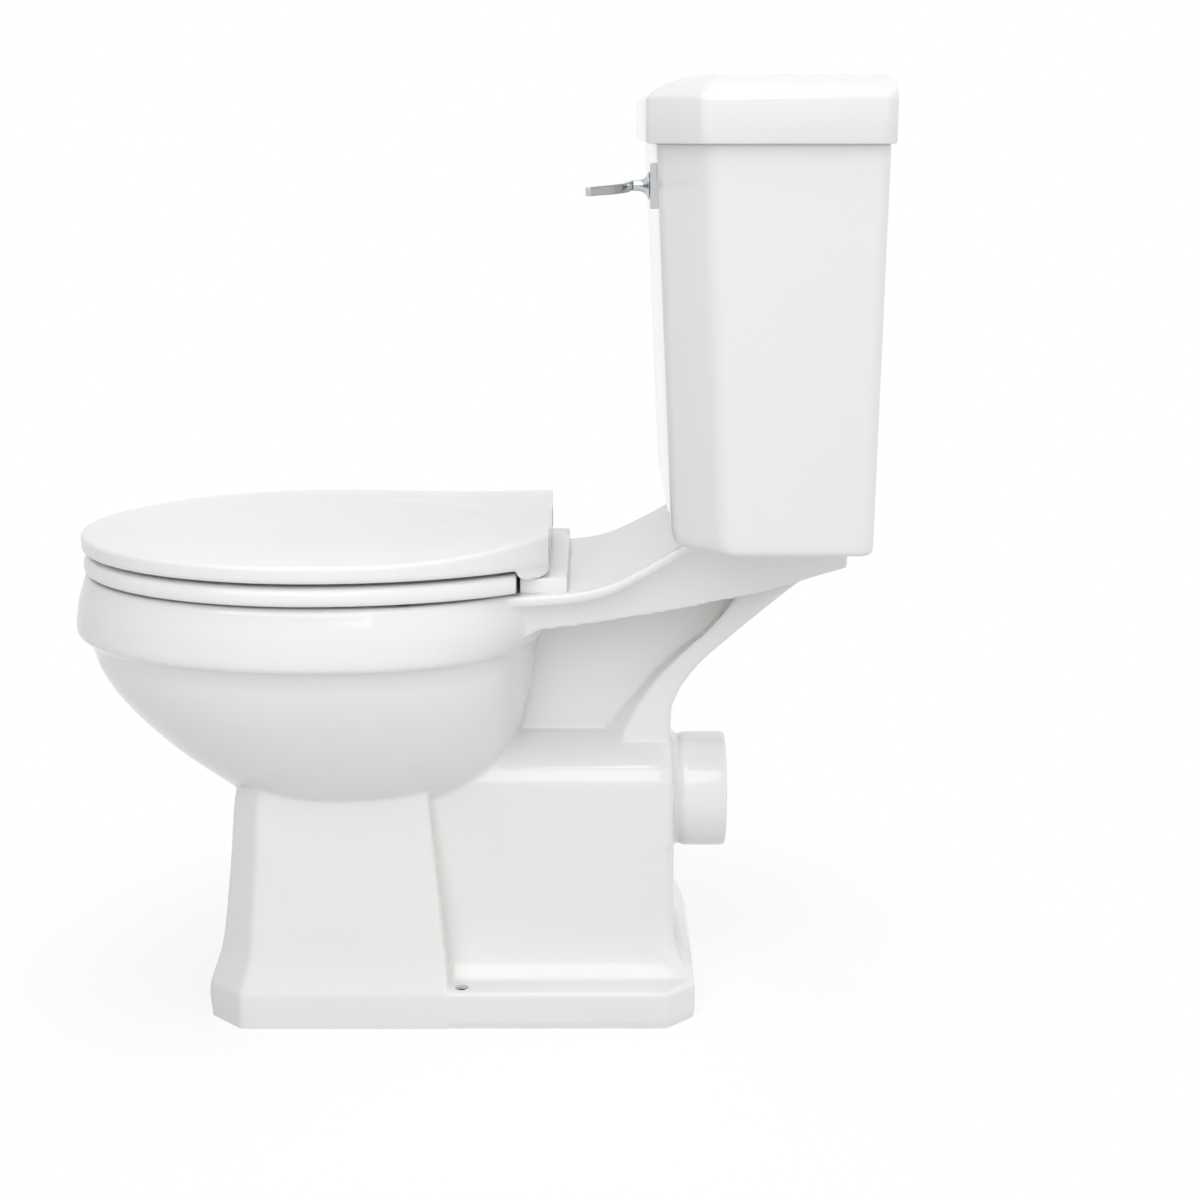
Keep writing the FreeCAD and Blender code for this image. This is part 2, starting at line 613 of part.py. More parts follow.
def rear_web():
    """The upright web under the deck, with a thicker rib along its back."""
    plate_z = DECK_Z - DECK_PLATE / 2
    shelf_z = SHELF_Z - SHELF_WALL / 2
    back = [(RIB_HEAD_Y, shelf_z), (RIB_HEAD_Y, RIB_HEAD_Z), (RIB_KNEE_Y, RIB_KNEE_Z),
            (RIB_FOOT_Y, RIB_KNEE_Z - RIB_DEPTH), (RIB_FOOT_Y, BLOCK_SHOULDER_Z)]
    front = [(RIB_FOOT_Y - RIB_DEPTH, BLOCK_SHOULDER_Z), (RIB_FOOT_Y - RIB_DEPTH, BLOCK_TOP_Z),
             (RIB_KNEE_Y - RIB_DEPTH, RIB_KNEE_Z), (RIB_HEAD_Y - RIB_HEAD_DEPTH, RIB_HEAD_Z - RIB_DEPTH),
             (RIB_HEAD_Y - RIB_HEAD_DEPTH, shelf_z)]
    web = [(WEB_START_Y, plate_z), (DECK_FLAT_END_Y, plate_z), (SHELF_START_Y, shelf_z)]
    web += list(reversed(front)) + [(WEB_START_Y, WEB_FRONT_FOOT_Z)]
    return side_plate(web, WEB_HALF_WIDTH).fuse(side_plate(back + front, RIB_HALF_WIDTH))


def web_hollow():
    """The space inside the web, open to the trap block's hollow below."""
    wall = CASTING_WALL
    return side_plate([(WEB_START_Y + 4 * wall, APRON_START_Z), (RIB_KNEE_Y - wall, APRON_START_Z),
                       (RIB_KNEE_Y - 2 * wall, RIB_KNEE_Z), (RIB_FOOT_Y - wall, BLOCK_SHOULDER_Z - wall),
                       (WEB_START_Y + 4 * wall, BLOCK_SHOULDER_Z - wall)], WEB_HALF_WIDTH - wall)


def outlet_spigot():
    """The soil spigot with a shallow groove round its root."""
    root = Vector(0, BLOCK_BACK_Y, OUTLET_Z)
    groove_end = Vector(0, BLOCK_BACK_Y + OUTLET_GROOVE, OUTLET_Z)
    end = Vector(0, OUTLET_END_Y, OUTLET_Z)
    spigot = rod(OUTLET_R, groove_end, end).fuse(rod(OUTLET_R - OUTLET_GROOVE_DEPTH, root, groove_end))
    return spigot.cut(rod(OUTLET_BORE_R, root, end))


def flush_way_path():
    """The middle line of the water's way from the inlet to the rim's channel."""
    start = Vector(SIPHON_X, SIPHON_Y, INLET_FLOOR_Z)
    return [start, start - Z_AXIS * FLUSH_WAY_R, Vector(0, BOWL_REAR_Y, RIM_TOP_Z - RIM_PLATE - FLUSH_WAY_R)]


def seat_bolt_room():
    """The seat bolts' holes and the room for their nuts under the deck."""
    cutters = []
    for side in SIDES:
        x = side * SEAT_BOLT_X
        cutters.append(upright(SEAT_BOLT_HOLE_R, x, SEAT_BOLT_Y, APRON_START_Z, DECK_Z + OVERSHOOT))
        cutters.append(upright(SPOT_FACE_R, x, SEAT_BOLT_Y, BAND_FOOT_Z, DECK_Z - DECK_PLATE))
    return cutters


def trapway_outside():
    """The sump and the trapway as full bodies, up to the block's back wall."""
    body = sump(TRAP_WALL).fuse(pipe(trap_path(), TRAP_BORE_R + TRAP_WALL))
    behind = box(-BLOCK_HALF_WIDTH, BLOCK_HALF_WIDTH, BLOCK_BACK_Y - CASTING_WALL, OUTLET_END_Y,
                 0, BLOCK_TOP_Z)
    return body.cut(behind)


def pan_bowl():
    """The bowl with its flared rim and the flushing channel under the rim."""
    lip = egg_plate(RIM_FRONT_Y + RIM_OPENING_INSET - RIM_LIP_WALL, RIM_OPENING_REAR_Y + RIM_LIP_WALL,
                    RIM_HALF_WIDTH - RIM_OPENING_INSET + RIM_LIP_WALL, RIM_TOP_Z - RIM_LIP_HEIGHT,
                    RIM_TOP_Z - RIM_PLATE / 2)
    opening = egg_plate(RIM_FRONT_Y + RIM_OPENING_INSET, RIM_OPENING_REAR_Y,
                        RIM_HALF_WIDTH - RIM_OPENING_INSET, RIM_TOP_Z - RIM_LIP_HEIGHT - OVERSHOOT,
                        RIM_TOP_Z + OVERSHOOT)
    body = bowl_outside().cut([deck_hollow(), bowl_inside()]).fuse(lip)
    return body.cut([opening, pipe(flush_way_path(), FLUSH_WAY_R)] + seat_bolt_room()).removeSplitter()


def pan_trapway():
    """The sump under the bowl and the trapway that leads over the crest to the outlet."""
    body = trapway_outside().cut(bowl_outside())
    return body.cut([bowl_inside(), pipe(trap_path(), TRAP_BORE_R)]).removeSplitter()


def pan_foot():
    """The hollow pedestal, trap block and plinth under the bowl."""
    plinth = loft([cut_corners(PLINTH_HALF_WIDTH, PLINTH_FRONT_Y, PLINTH_BACK_Y, PLINTH_CHAMFER,
                               PLINTH_CHAMFER, z) for z in (0, PLINTH_Z)], True)
    plinth_hollow = loft([inset_corners(PLINTH_HALF_WIDTH, PLINTH_FRONT_Y, PLINTH_BACK_Y, PLINTH_CHAMFER,
                                        PLINTH_CHAMFER, z, CASTING_WALL)
                          for z in (-OVERSHOOT, PLINTH_Z - CASTING_WALL)], True)
    skirt = loft([cut_corners(BLOCK_FOOT_HALF_WIDTH, PEDESTAL_FOOT_BACK_Y, BLOCK_FOOT_BACK_Y, SHARP,
                              BLOCK_SKIRT_CHAMFER, PLINTH_Z),
                  cut_corners(BLOCK_HALF_WIDTH, PEDESTAL_FOOT_BACK_Y, BLOCK_BACK_Y, SHARP,
                              BLOCK_SKIRT_CHAMFER, OUTLET_Z - OUTLET_R - CASTING_WALL)], True)
    body = pedestal(0, 0).fuse([trap_block(0, 0), plinth, skirt])
    body = body.cut([pedestal(CASTING_WALL, -OVERSHOOT), trap_block(CASTING_WALL, -OVERSHOOT), plinth_hollow])
    posts = []
    holes = [rod(OUTLET_BORE_R, Vector(0, TRAP_CREST_Y, OUTLET_Z), Vector(0, OUTLET_END_Y, OUTLET_Z))]
    for side in SIDES:
        x = side * FLOOR_HOLE_X
        posts.append(upright(LEDGE_SEAT_R, x, FLOOR_HOLE_Y, 0, PLINTH_Z))
        holes.append(upright(FLOOR_HOLE_R, x, FLOOR_HOLE_Y, -OVERSHOOT, PLINTH_Z + CASTING_WALL))
    body = body.fuse(posts).cut([bowl_outside(SEAM), trapway_outside()])
    return body.cut(holes).removeSplitter()


def pan_shelf():
    """The seat deck and cistern shelf, their web and rib, and the water's way from the tank."""
    body = deck().cut(deck_hollow()).fuse(rear_web()).cut(web_hollow())
    horn = upright(INLET_R + INLET_WALL, SIPHON_X, SIPHON_Y, INLET_FLOOR_Z - INLET_WALL,
                   SHELF_Z - SHELF_WALL / 2)
    body = body.fuse([horn, pipe(flush_way_path(), FLUSH_WAY_R + FLUSH_WAY_WALL)])
    body = body.cut([bowl_outside(), trap_block(0, 0)])
    holes = [upright(INLET_R, SIPHON_X, SIPHON_Y, INLET_FLOOR_Z, SHELF_Z + OVERSHOOT),
             pipe(flush_way_path(), FLUSH_WAY_R)]
    for side in SIDES:
        holes.append(upright(COUPLING_BOLT_R + HOLE_GAP, side * COUPLING_BOLT_X, SIPHON_Y,
                             SHELF_Z - 2 * SHELF_WALL, SHELF_Z + OVERSHOOT))
    return body.cut(holes + seat_bolt_room()).removeSplitter()


def tank_section(z, inset):
    """The tank's outline at a height, drawn in by a wall."""
    share = (z - TANK_BOTTOM_Z) / TANK_HEIGHT

    def between(bottom, top):
        return bottom + share * (top - bottom)

    return inset_corners(between(TANK_BOTTOM_HALF_WIDTH, TANK_TOP_HALF_WIDTH),
                         between(TANK_BOTTOM_FRONT_Y, TANK_TOP_FRONT_Y),
                         between(TANK_BOTTOM_BACK_Y, TANK_TOP_BACK_Y),
                         TANK_CHAMFER, TANK_BACK_CHAMFER, z, inset)


def tank_outside():
    """The tank as a full block."""
    return loft([tank_section(TANK_BOTTOM_Z, TANK_FOOT_ROUND),
                 tank_section(TANK_BOTTOM_Z + TANK_FOOT_ROUND, 0), tank_section(TANK_TOP_Z, 0)], True)


def tank_hollow():
    """The water space."""
    return loft([tank_section(z, TANK_WALL) for z in (TANK_FLOOR_Z, TANK_TOP_Z + OVERSHOOT)], True)


def cistern_tank():
    """The ceramic tank with the holes for its fittings."""
    under = TANK_BOTTOM_Z - OVERSHOOT
    holes = [tank_hollow(),
             upright(TAIL_R + HOLE_GAP, SIPHON_X, SIPHON_Y, under, SEAL_TOP_Z),
             upright(VALVE_SHANK_R + HOLE_GAP, VALVE_X, SIPHON_Y, under, SEAL_TOP_Z),
             rod(BUSH_R + HOLE_GAP, Vector(LEVER_X, TANK_TOP_FRONT_Y, LEVER_Z),
                 Vector(LEVER_X, TANK_TOP_FRONT_Y + 3 * TANK_WALL, LEVER_Z))]
    for side in SIDES:
        holes.append(upright(COUPLING_BOLT_R + HOLE_GAP, side * COUPLING_BOLT_X, SIPHON_Y, under, SEAL_TOP_Z))
        screw_x = side * WALL_SCREW_X
        holes.append(rod(WALL_SCREW_R, Vector(screw_x, TANK_TOP_BACK_Y - 3 * TANK_WALL, WALL_SCREW_Z),
                         Vector(screw_x, TANK_TOP_BACK_Y + OVERSHOOT, WALL_SCREW_Z)))
    return tank_outside().cut(holes)


def lid_outline(z, inset):
    """The cistern lid's outline in plan, drawn in evenly."""
    return inset_corners(LID_HALF_WIDTH, LID_FRONT_Y, LID_BACK_Y, LID_CHAMFER, TANK_BACK_CHAMFER, z, inset)


def lid_ridge(z, inset):
    """The outline of the lid's flat top, inside the sloping hips."""
    hip = LID_HIP_INSET + inset
    return cut_corners(LID_HALF_WIDTH - hip, LID_FRONT_Y + hip, LID_BACK_Y - LID_BACK_INSET - inset,
                       LID_CHAMFER - LID_HIP_INSET * (2 - math.sqrt(2)), TANK_BACK_CHAMFER, z)


def cistern_lid():
    """The lift-off lid: an upright edge and a hipped top, hollow underneath, with a locating ridge."""
    top_z = LID_WALL_TOP_Z + LID_HIP_RISE
    gap = TANK_WALL + LID_RIDGE_GAP
    block = loft([lid_outline(TANK_TOP_Z, 0), lid_outline(LID_WALL_TOP_Z, 0), lid_ridge(top_z, 0)], True)
    ridge_z = TANK_TOP_Z - LID_RIDGE_HEIGHT
    roof_z = LID_WALL_TOP_Z - LID_SHELL
    ridge = loft([tank_section(z, gap) for z in (ridge_z, roof_z)], True)
    hollow = loft([tank_section(z, gap + LID_RIDGE_WALL) for z in (ridge_z - OVERSHOOT, roof_z)], True)
    return block.fuse(ridge).cut(hollow).removeSplitter()


def hinge_axis(x0, x1, radius):
    """A bar along the seat's pivot."""
    return rod(radius, Vector(x0, HINGE_Y, HINGE_Z), Vector(x1, HINGE_Y, HINGE_Z))


def hinge_places():
    """Where each post and knuckle begins and ends, on the +X side."""
    post_in = SEAT_BOLT_X - HINGE_POST_WIDTH / 2
    post_out = post_in + HINGE_POST_WIDTH
    knuckle_out = post_in - HINGE_SIDE_GAP
    return post_in, post_out, knuckle_out - KNUCKLE_WIDTH, knuckle_out


def mirrored(x0, x1, side):
    """A pair of X values on one side, lowest first."""
    return sorted((side * x0, side * x1))


def seat_lid():
    """The lid, thicker towards its back, with a barrel round the hinge."""
    plate = egg_plate(SEAT_FRONT_Y, SEAT_REAR_Y, SEAT_HALF_WIDTH, LID_BOTTOM_Z, LID_TOP_Z)
    plate = rounded_top(plate, LID_EDGE_ROUND, LID_TOP_Z)
    rise = side_plate([(LID_RISE_START_Y, LID_BOTTOM_Z + LID_EDGE_ROUND), (LID_RISE_START_Y, LID_TOP_Z),
                       (LID_RISE_MID_Y, LID_TOP_Z + LID_RISE_MID), (SEAT_BACK_Y, LID_TOP_Z + LID_REAR_RISE),
                       (SEAT_BACK_Y, LID_BOTTOM_Z + LID_EDGE_ROUND)], SEAT_HALF_WIDTH)
    rise = rise.fuse(hinge_axis(-SEAT_HALF_WIDTH, SEAT_HALF_WIDTH, HINGE_BARREL_R))
    above = max(LID_TOP_Z + LID_REAR_RISE, HINGE_Z + HINGE_BARREL_R) + OVERSHOOT
    plan = egg_plate(SEAT_FRONT_Y, SEAT_REAR_Y, SEAT_HALF_WIDTH - HEEL_INSET, DECK_Z, above)
    behind = box(-SEAT_HALF_WIDTH, SEAT_HALF_WIDTH, SEAT_BACK_Y, SEAT_REAR_Y + OVERSHOOT, DECK_Z, above)
    lid = plate.fuse(rise.common(plan)).cut(behind)
    post_in, post_out, knuckle_in, knuckle_out = hinge_places()
    cuts = []
    for side in SIDES:
        notch_in, notch_out = mirrored(knuckle_in - HINGE_SIDE_GAP, post_out + HINGE_SIDE_GAP, side)
        cuts.append(hinge_axis(notch_in, notch_out, HINGE_BARREL_R + NOTCH_CLEARANCE))
        pin_in, pin_out = mirrored(knuckle_in - PIN_GRIP, post_out + PIN_GRIP, side)
        cuts.append(hinge_axis(pin_in, pin_out, HINGE_PIN_R))
    return lid.cut(cuts).removeSplitter()


def seat_ring():
    """The ring, with a knuckle on each side that reaches back to the hinge."""
    plate = egg_plate(SEAT_FRONT_Y + RING_OUTER_INSET, SEAT_REAR_Y, SEAT_HALF_WIDTH - RING_OUTER_INSET,
                      RING_BOTTOM_Z, RING_TOP_Z)
    plate = plate.cut(egg_plate(RING_OPENING_FRONT_Y, RING_OPENING_REAR_Y, RING_OPENING_HALF_WIDTH,
                                RING_BOTTOM_Z, RING_TOP_Z))
    plate = rounded_top(plate, RING_EDGE_ROUND, RING_TOP_Z)
    plate = plate.cut(box(-SEAT_HALF_WIDTH, SEAT_HALF_WIDTH, RING_BACK_Y, SEAT_REAR_Y + OVERSHOOT,
                          RING_BOTTOM_Z, RING_TOP_Z))
    post_in, post_out, knuckle_in, knuckle_out = hinge_places()
    additions = []
    bores = []
    for side in SIDES:
        x0, x1 = mirrored(knuckle_in, knuckle_out, side)
        arm = extruded([Vector(x0, RING_BACK_Y - 2 * KNUCKLE_R, RING_BOTTOM_Z + RING_LIFT),
                        Vector(x0, HINGE_Y, HINGE_Z - KNUCKLE_R),
                        Vector(x0, HINGE_Y - KNUCKLE_ARM_SETBACK, HINGE_Z),
                        Vector(x0, RING_BACK_Y, RING_TOP_Z),
                        Vector(x0, RING_BACK_Y - 2 * KNUCKLE_R, RING_TOP_Z)], Vector(x1 - x0, 0, 0))
        additions += [arm, hinge_axis(x0, x1, KNUCKLE_R)]
        bores.append(hinge_axis(x0, x1, HINGE_PIN_R + PIN_RUNNING_FIT))
    return plate.fuse(additions).cut(bores).removeSplitter()


def hinge_plate():
    """The plate under the lid's foot, with a post on each side that carries a hinge pin."""
    plate = box(-HINGE_PLATE_HALF_WIDTH, HINGE_PLATE_HALF_WIDTH, HINGE_PLATE_FRONT_Y, HINGE_PLATE_BACK_Y,
                DECK_Z, HINGE_PLATE_TOP_Z)
    post_in, post_out, knuckle_in, knuckle_out = hinge_places()
    posts = []
    holes = []
    for side in SIDES:
        x0, x1 = mirrored(post_in, post_out, side)
        posts += [box(x0, x1, HINGE_Y - HINGE_POST_R, HINGE_Y + HINGE_POST_R,
                      HINGE_PLATE_TOP_Z - OVERSHOOT, HINGE_Z),
                  hinge_axis(x0, x1, HINGE_POST_R)]
        x, y = side * SEAT_BOLT_X, SEAT_BOLT_Y
        holes += [hinge_axis(x0, x1, HINGE_PIN_R + PIN_RUNNING_FIT),
                  upright(SEAT_BOLT_R + HOLE_GAP, x, y, DECK_Z, HINGE_PLATE_TOP_Z),
                  upright(SEAT_BOLT_HEAD_R + HOLE_GAP, x, y, HINGE_PLATE_TOP_Z - SEAT_BOLT_HEAD,
                          HINGE_PLATE_TOP_Z)]
    return plate.fuse(posts).cut(holes).removeSplitter()


def hinge_pin(side):
    """One pin, held by the lid on both sides of the post and knuckle."""
    post_in, post_out, knuckle_in, knuckle_out = hinge_places()
    return hinge_axis(*mirrored(knuckle_in - PIN_GRIP, post_out + PIN_GRIP, side), HINGE_PIN_R)


def buffers(places, z0, z1):
    """Rubber pads at the same places on both sides."""
    return Part.makeCompound([upright(BUFFER_R, side * x, y, z0, z1) for x, y in places for side in SIDES])


def seat_bolt(side):
    """A countersunk seat bolt, flush with the hinge plate."""
    x = side * SEAT_BOLT_X
    nut_foot = DECK_Z - DECK_PLATE - RUBBER_WASHER - WING_NUT
    shank = upright(SEAT_BOLT_R, x, SEAT_BOLT_Y, nut_foot - BOLT_TAIL, HINGE_PLATE_TOP_Z - SEAT_BOLT_HEAD)
    head = upright(SEAT_BOLT_HEAD_R, x, SEAT_BOLT_Y, HINGE_PLATE_TOP_Z - SEAT_BOLT_HEAD, HINGE_PLATE_TOP_Z)
    return shank.fuse(head).removeSplitter()


def coupling_bolt(side):
    """A bolt from inside the tank through the pan's shelf."""
    x = side * COUPLING_BOLT_X
    foot = SHELF_Z - SHELF_WALL - WASHER - WING_NUT
    shank = upright(COUPLING_BOLT_R, x, SIPHON_Y, foot, SEAL_TOP_Z)
    head = upright(COUPLING_HEAD_R, x, SIPHON_Y, SEAL_TOP_Z, SEAL_TOP_Z + COUPLING_HEAD)
    return shank.fuse(head).removeSplitter()


def coupling_seal():
    """The thick rubber ring between the siphon's nut and the pan's inlet."""
    top = TANK_BOTTOM_Z - SIPHON_NUT
    body = upright(INLET_R - HOLE_GAP, SIPHON_X, SIPHON_Y, INLET_FLOOR_Z, top)
    return body.cut(upright(TAIL_R + HOLE_GAP, SIPHON_X, SIPHON_Y, INLET_FLOOR_Z - OVERSHOOT,
                            top + OVERSHOOT))


def siphon_arch(radius):
    """The bent top of the siphon."""
    middle = Vector(SIPHON_X + SIPHON_LEG_SPACING / 2, SIPHON_Y, SIPHON_ARCH_Z)
    bend = Part.makeTorus(SIPHON_LEG_SPACING / 2, radius, middle, Y_AXIS)
    reach = SIPHON_LEG_SPACING + radius
    return bend.common(box(middle.x - reach, middle.x + reach, SIPHON_Y - reach, SIPHON_Y + reach,
                           SIPHON_ARCH_Z, SIPHON_ARCH_Z + reach))


def siphon_body():
    """The siphon: threaded tail, down leg, arch, up leg and the chamber of the plunger."""
    chamber_top = CHAMBER_Z + CHAMBER_HEIGHT
    bore = SIPHON_LEG_R - SIPHON_SKIN
    tail_foot = TANK_BOTTOM_Z - TAIL_LENGTH
    flange_top = SEAL_TOP_Z + SIPHON_FLANGE
    rib = box(SIPHON_X + SIPHON_LEG_R - OVERSHOOT, ROD_X - CHAMBER_R + OVERSHOOT,
              SIPHON_Y - SIPHON_SKIN, SIPHON_Y + SIPHON_SKIN, CHAMBER_Z, chamber_top)
    outside = upright(TAIL_R, SIPHON_X, SIPHON_Y, tail_foot, SEAL_TOP_Z)
    outside = outside.fuse([upright(SIPHON_FLANGE_R, SIPHON_X, SIPHON_Y, SEAL_TOP_Z, flange_top),
                            upright(SIPHON_LEG_R, SIPHON_X, SIPHON_Y, SEAL_TOP_Z, SIPHON_ARCH_Z),
                            siphon_arch(SIPHON_LEG_R), rib,
                            upright(SIPHON_LEG_R, ROD_X, SIPHON_Y, chamber_top - OVERSHOOT, SIPHON_ARCH_Z),
                            upright(CHAMBER_R, ROD_X, SIPHON_Y, CHAMBER_Z, chamber_top)])
    inside = [upright(bore, SIPHON_X, SIPHON_Y, tail_foot - OVERSHOOT, SIPHON_ARCH_Z),
              siphon_arch(bore), upright(bore, ROD_X, SIPHON_Y, chamber_top - 2 * SIPHON_SKIN, SIPHON_ARCH_Z),
              upright(CHAMBER_R - SIPHON_SKIN, ROD_X, SIPHON_Y, CHAMBER_Z - OVERSHOOT,
                      chamber_top - SIPHON_SKIN),
              upright(ROD_R + ROD_HOLE_GAP, ROD_X, SIPHON_Y, SIPHON_ARCH_Z, LEVER_Z)]
    return outside.cut(inside).removeSplitter()


def trip_turned(shape):
    """Turns a level trip arm down to where it rests."""
    turned = shape.copy()
    turned.rotate(Vector(LEVER_X, 0, LEVER_Z), Y_AXIS, -TRIP_REST_DEG)
    return turned


def trip_peg_rest():
    """Middle of the trip arm's peg at rest, as X and Z."""
    turn = math.radians(TRIP_REST_DEG)
    return LEVER_X - TRIP_REACH * math.cos(turn), LEVER_Z - TRIP_REACH * math.sin(turn)


def tank_front_y(z):
    """The tank's front face at a height."""
    share = (z - TANK_BOTTOM_Z) / TANK_HEIGHT
    return TANK_BOTTOM_FRONT_Y + share * (TANK_TOP_FRONT_Y - TANK_BOTTOM_FRONT_Y)


def lever_bar(radius, y0, y1):
    """A bar on the lever's axis."""
    return rod(radius, Vector(LEVER_X, y0, LEVER_Z), Vector(LEVER_X, y1, LEVER_Z))


LEVER_FACE_Y = tank_front_y(LEVER_Z) - LEVER_PLATE_THICKNESS
LEVER_INSIDE_Y = tank_front_y(LEVER_Z) + TANK_WALL
TRIP_HUB_Y = LEVER_FACE_Y + BUSH_LENGTH + TRIP_HUB_GAP
TRIP_END_Y = SIPHON_Y - LINK_THICKNESS / 2 - TRIP_ARM_THICKNESS - HOLE_GAP


def lever_escutcheon():
    """The face plate, its back following the tank's slightly sloping front."""
    half = LEVER_PLATE / 2
    block = box(LEVER_X - half, LEVER_X + half, LEVER_FACE_Y, LEVER_FACE_Y + 2 * LEVER_PLATE_THICKNESS,
                LEVER_Z - half, LEVER_Z + half)
    return block.cut([tank_outside(), lever_bar(BUSH_R, LEVER_FACE_Y, LEVER_INSIDE_Y)])


def lever_bush():
    """The threaded sleeve that carries the spindle through the tank's wall."""
    return lever_bar(BUSH_R, LEVER_FACE_Y, LEVER_FACE_Y + BUSH_LENGTH).cut(
        lever_bar(SPINDLE_R + PIN_RUNNING_FIT, LEVER_FACE_Y, LEVER_FACE_Y + BUSH_LENGTH))


def lever_washer():
    """Rubber washer on the tank's inner face."""
    washer = lever_bar(LEVER_NUT_R, LEVER_INSIDE_Y - RUBBER_WASHER, LEVER_INSIDE_Y + RUBBER_WASHER)
    wall = tank_outside().cut(tank_hollow())
    return washer.cut([wall, lever_bar(BUSH_R, LEVER_FACE_Y, LEVER_INSIDE_Y + LEVER_NUT)]).Solids[0]


def lever_back_nut():
    """Plastic nut that clamps the bush."""
    start = LEVER_INSIDE_Y + RUBBER_WASHER
    turns = [math.radians(60 * corner) for corner in range(6)]
    outline = [Vector(LEVER_X + LEVER_NUT_R * math.cos(turn), start, LEVER_Z + LEVER_NUT_R * math.sin(turn))
               for turn in turns]
    return extruded(outline, Vector(0, LEVER_NUT, 0)).cut(lever_bar(BUSH_R, start, start + LEVER_NUT))


def flush_lever():
    """The chromed handle: flared neck, bent arm and the spindle through the wall."""
    hub = Vector(LEVER_X, LEVER_FACE_Y - NECK_REACH, LEVER_Z)
    elbow = Vector(LEVER_X + ARM_ELBOW_X, hub.y - ARM_ELBOW_Y, LEVER_Z)
    tip = Vector(LEVER_X + ARM_TIP_X, hub.y - ARM_TIP_Y, LEVER_Z)
    neck = Part.makeCone(ARM_R, NECK_R, NECK_REACH - HOLE_GAP, hub, Y_AXIS)
    spindle = lever_bar(SPINDLE_R, hub.y, TRIP_HUB_Y + TRIP_HUB)
    return neck.fuse([Part.makeSphere(ARM_R, hub), pipe([hub, elbow, tip], ARM_R), spindle]).removeSplitter()


def trip_arm():
    """The inner arm, from the spindle to the peg that lifts the link."""
    half = TRIP_ARM_HEIGHT / 2
    low_z = LEVER_Z - half
    hub = lever_bar(TRIP_HUB_R, TRIP_HUB_Y, TRIP_HUB_Y + TRIP_HUB)
    bar = extruded([Vector(LEVER_X, TRIP_HUB_Y + TRIP_HUB - TRIP_ARM_THICKNESS, low_z),
                    Vector(LEVER_X, TRIP_HUB_Y + TRIP_HUB, low_z),
                    Vector(ROD_X + half, TRIP_END_Y + TRIP_ARM_THICKNESS, low_z),
                    Vector(ROD_X - half, TRIP_END_Y + TRIP_ARM_THICKNESS, low_z),
                    Vector(ROD_X - half, TRIP_END_Y, low_z), Vector(ROD_X + half, TRIP_END_Y, low_z)],
                   Vector(0, 0, TRIP_ARM_HEIGHT))
    peg = rod(TRIP_PEG_R, Vector(ROD_X, TRIP_END_Y, LEVER_Z), Vector(ROD_X, TRIP_END_Y + TRIP_PEG, LEVER_Z))
    spindle = lever_bar(SPINDLE_R, TRIP_HUB_Y - OVERSHOOT, TRIP_HUB_Y + TRIP_HUB + OVERSHOOT)
    arm = hub.fuse([bar, peg]).cut([spindle, trip_screw_blank(LEVER_Z)])
    return trip_turned(arm.removeSplitter())


def trip_screw_blank(foot_z):
    """The grub screw from a height up, before it is turned with the arm."""
    middle = TRIP_HUB_Y + TRIP_HUB / 2 - TRIP_ARM_THICKNESS / 2
    return upright(TRIP_SCREW_R, LEVER_X, middle, foot_z, LEVER_Z + TRIP_HUB_R + WASHER)


def lift_link():
    """The stirrup on the lift rod, with a slot for the trip arm's peg."""
    peg_x, peg_z = trip_peg_rest()
    slot_x = TRIP_PEG_R + TRIP_REACH - TRIP_REACH * math.cos(math.radians(TRIP_REST_DEG)) + LINK_PLAY_X
    slot_z = TRIP_PEG_R + LINK_PLAY_Z
    y0 = SIPHON_Y - LINK_THICKNESS / 2
    plate = box(ROD_X - slot_x - LINK_FRAME, ROD_X + slot_x + LINK_FRAME, y0, y0 + LINK_THICKNESS,
                peg_z - slot_z - 2 * LINK_FRAME, peg_z + slot_z + LINK_FRAME)
    slot = box(ROD_X - slot_x, ROD_X + slot_x, y0, y0 + LINK_THICKNESS, peg_z - slot_z, peg_z + slot_z)
    return plate.cut(slot)


def lift_rod_top():
    """Underside of the link, where the rod ends."""
    return trip_peg_rest()[1] - TRIP_PEG_R - LINK_PLAY_Z - 2 * LINK_FRAME


def plunger_z():
    """Underside of the plunger at rest."""
    return CHAMBER_Z + PLUNGER_LIFT


def siphon_plunger():
    """The pierced plate that lifts the water."""
    foot = plunger_z()
    top = foot + PLUNGER
    openings = [upright(ROD_R, ROD_X, SIPHON_Y, foot, top)]
    for step in range(6):
        turn = math.radians(60 * step)
        openings.append(upright(PLUNGER_HOLE_R, ROD_X + PLUNGER_HOLES_R * math.cos(turn),
                                SIPHON_Y + PLUNGER_HOLES_R * math.sin(turn), foot, top))
    return upright(PLUNGER_R, ROD_X, SIPHON_Y, foot, top).cut(openings)


def fill_valve_stem():
    """The threaded tail, flange and standing pipe of the fill valve."""
    foot = TANK_BOTTOM_Z - VALVE_TAIL
    stem = upright(VALVE_TAIL_R, VALVE_X, SIPHON_Y, foot, SEAL_TOP_Z)
    stem = stem.fuse([upright(VALVE_SHANK_R, VALVE_X, SIPHON_Y, TANK_BOTTOM_Z - VALVE_NUT, SEAL_TOP_Z),
                      upright(VALVE_FLANGE_R, VALVE_X, SIPHON_Y, SEAL_TOP_Z, SEAL_TOP_Z + VALVE_FLANGE),
                      upright(VALVE_STEM_R, VALVE_X, SIPHON_Y, SEAL_TOP_Z, VALVE_STEM_TOP_Z)])
    return stem.cut(upright(VALVE_BORE_R, VALVE_X, SIPHON_Y, foot, VALVE_STEM_TOP_Z)).removeSplitter()


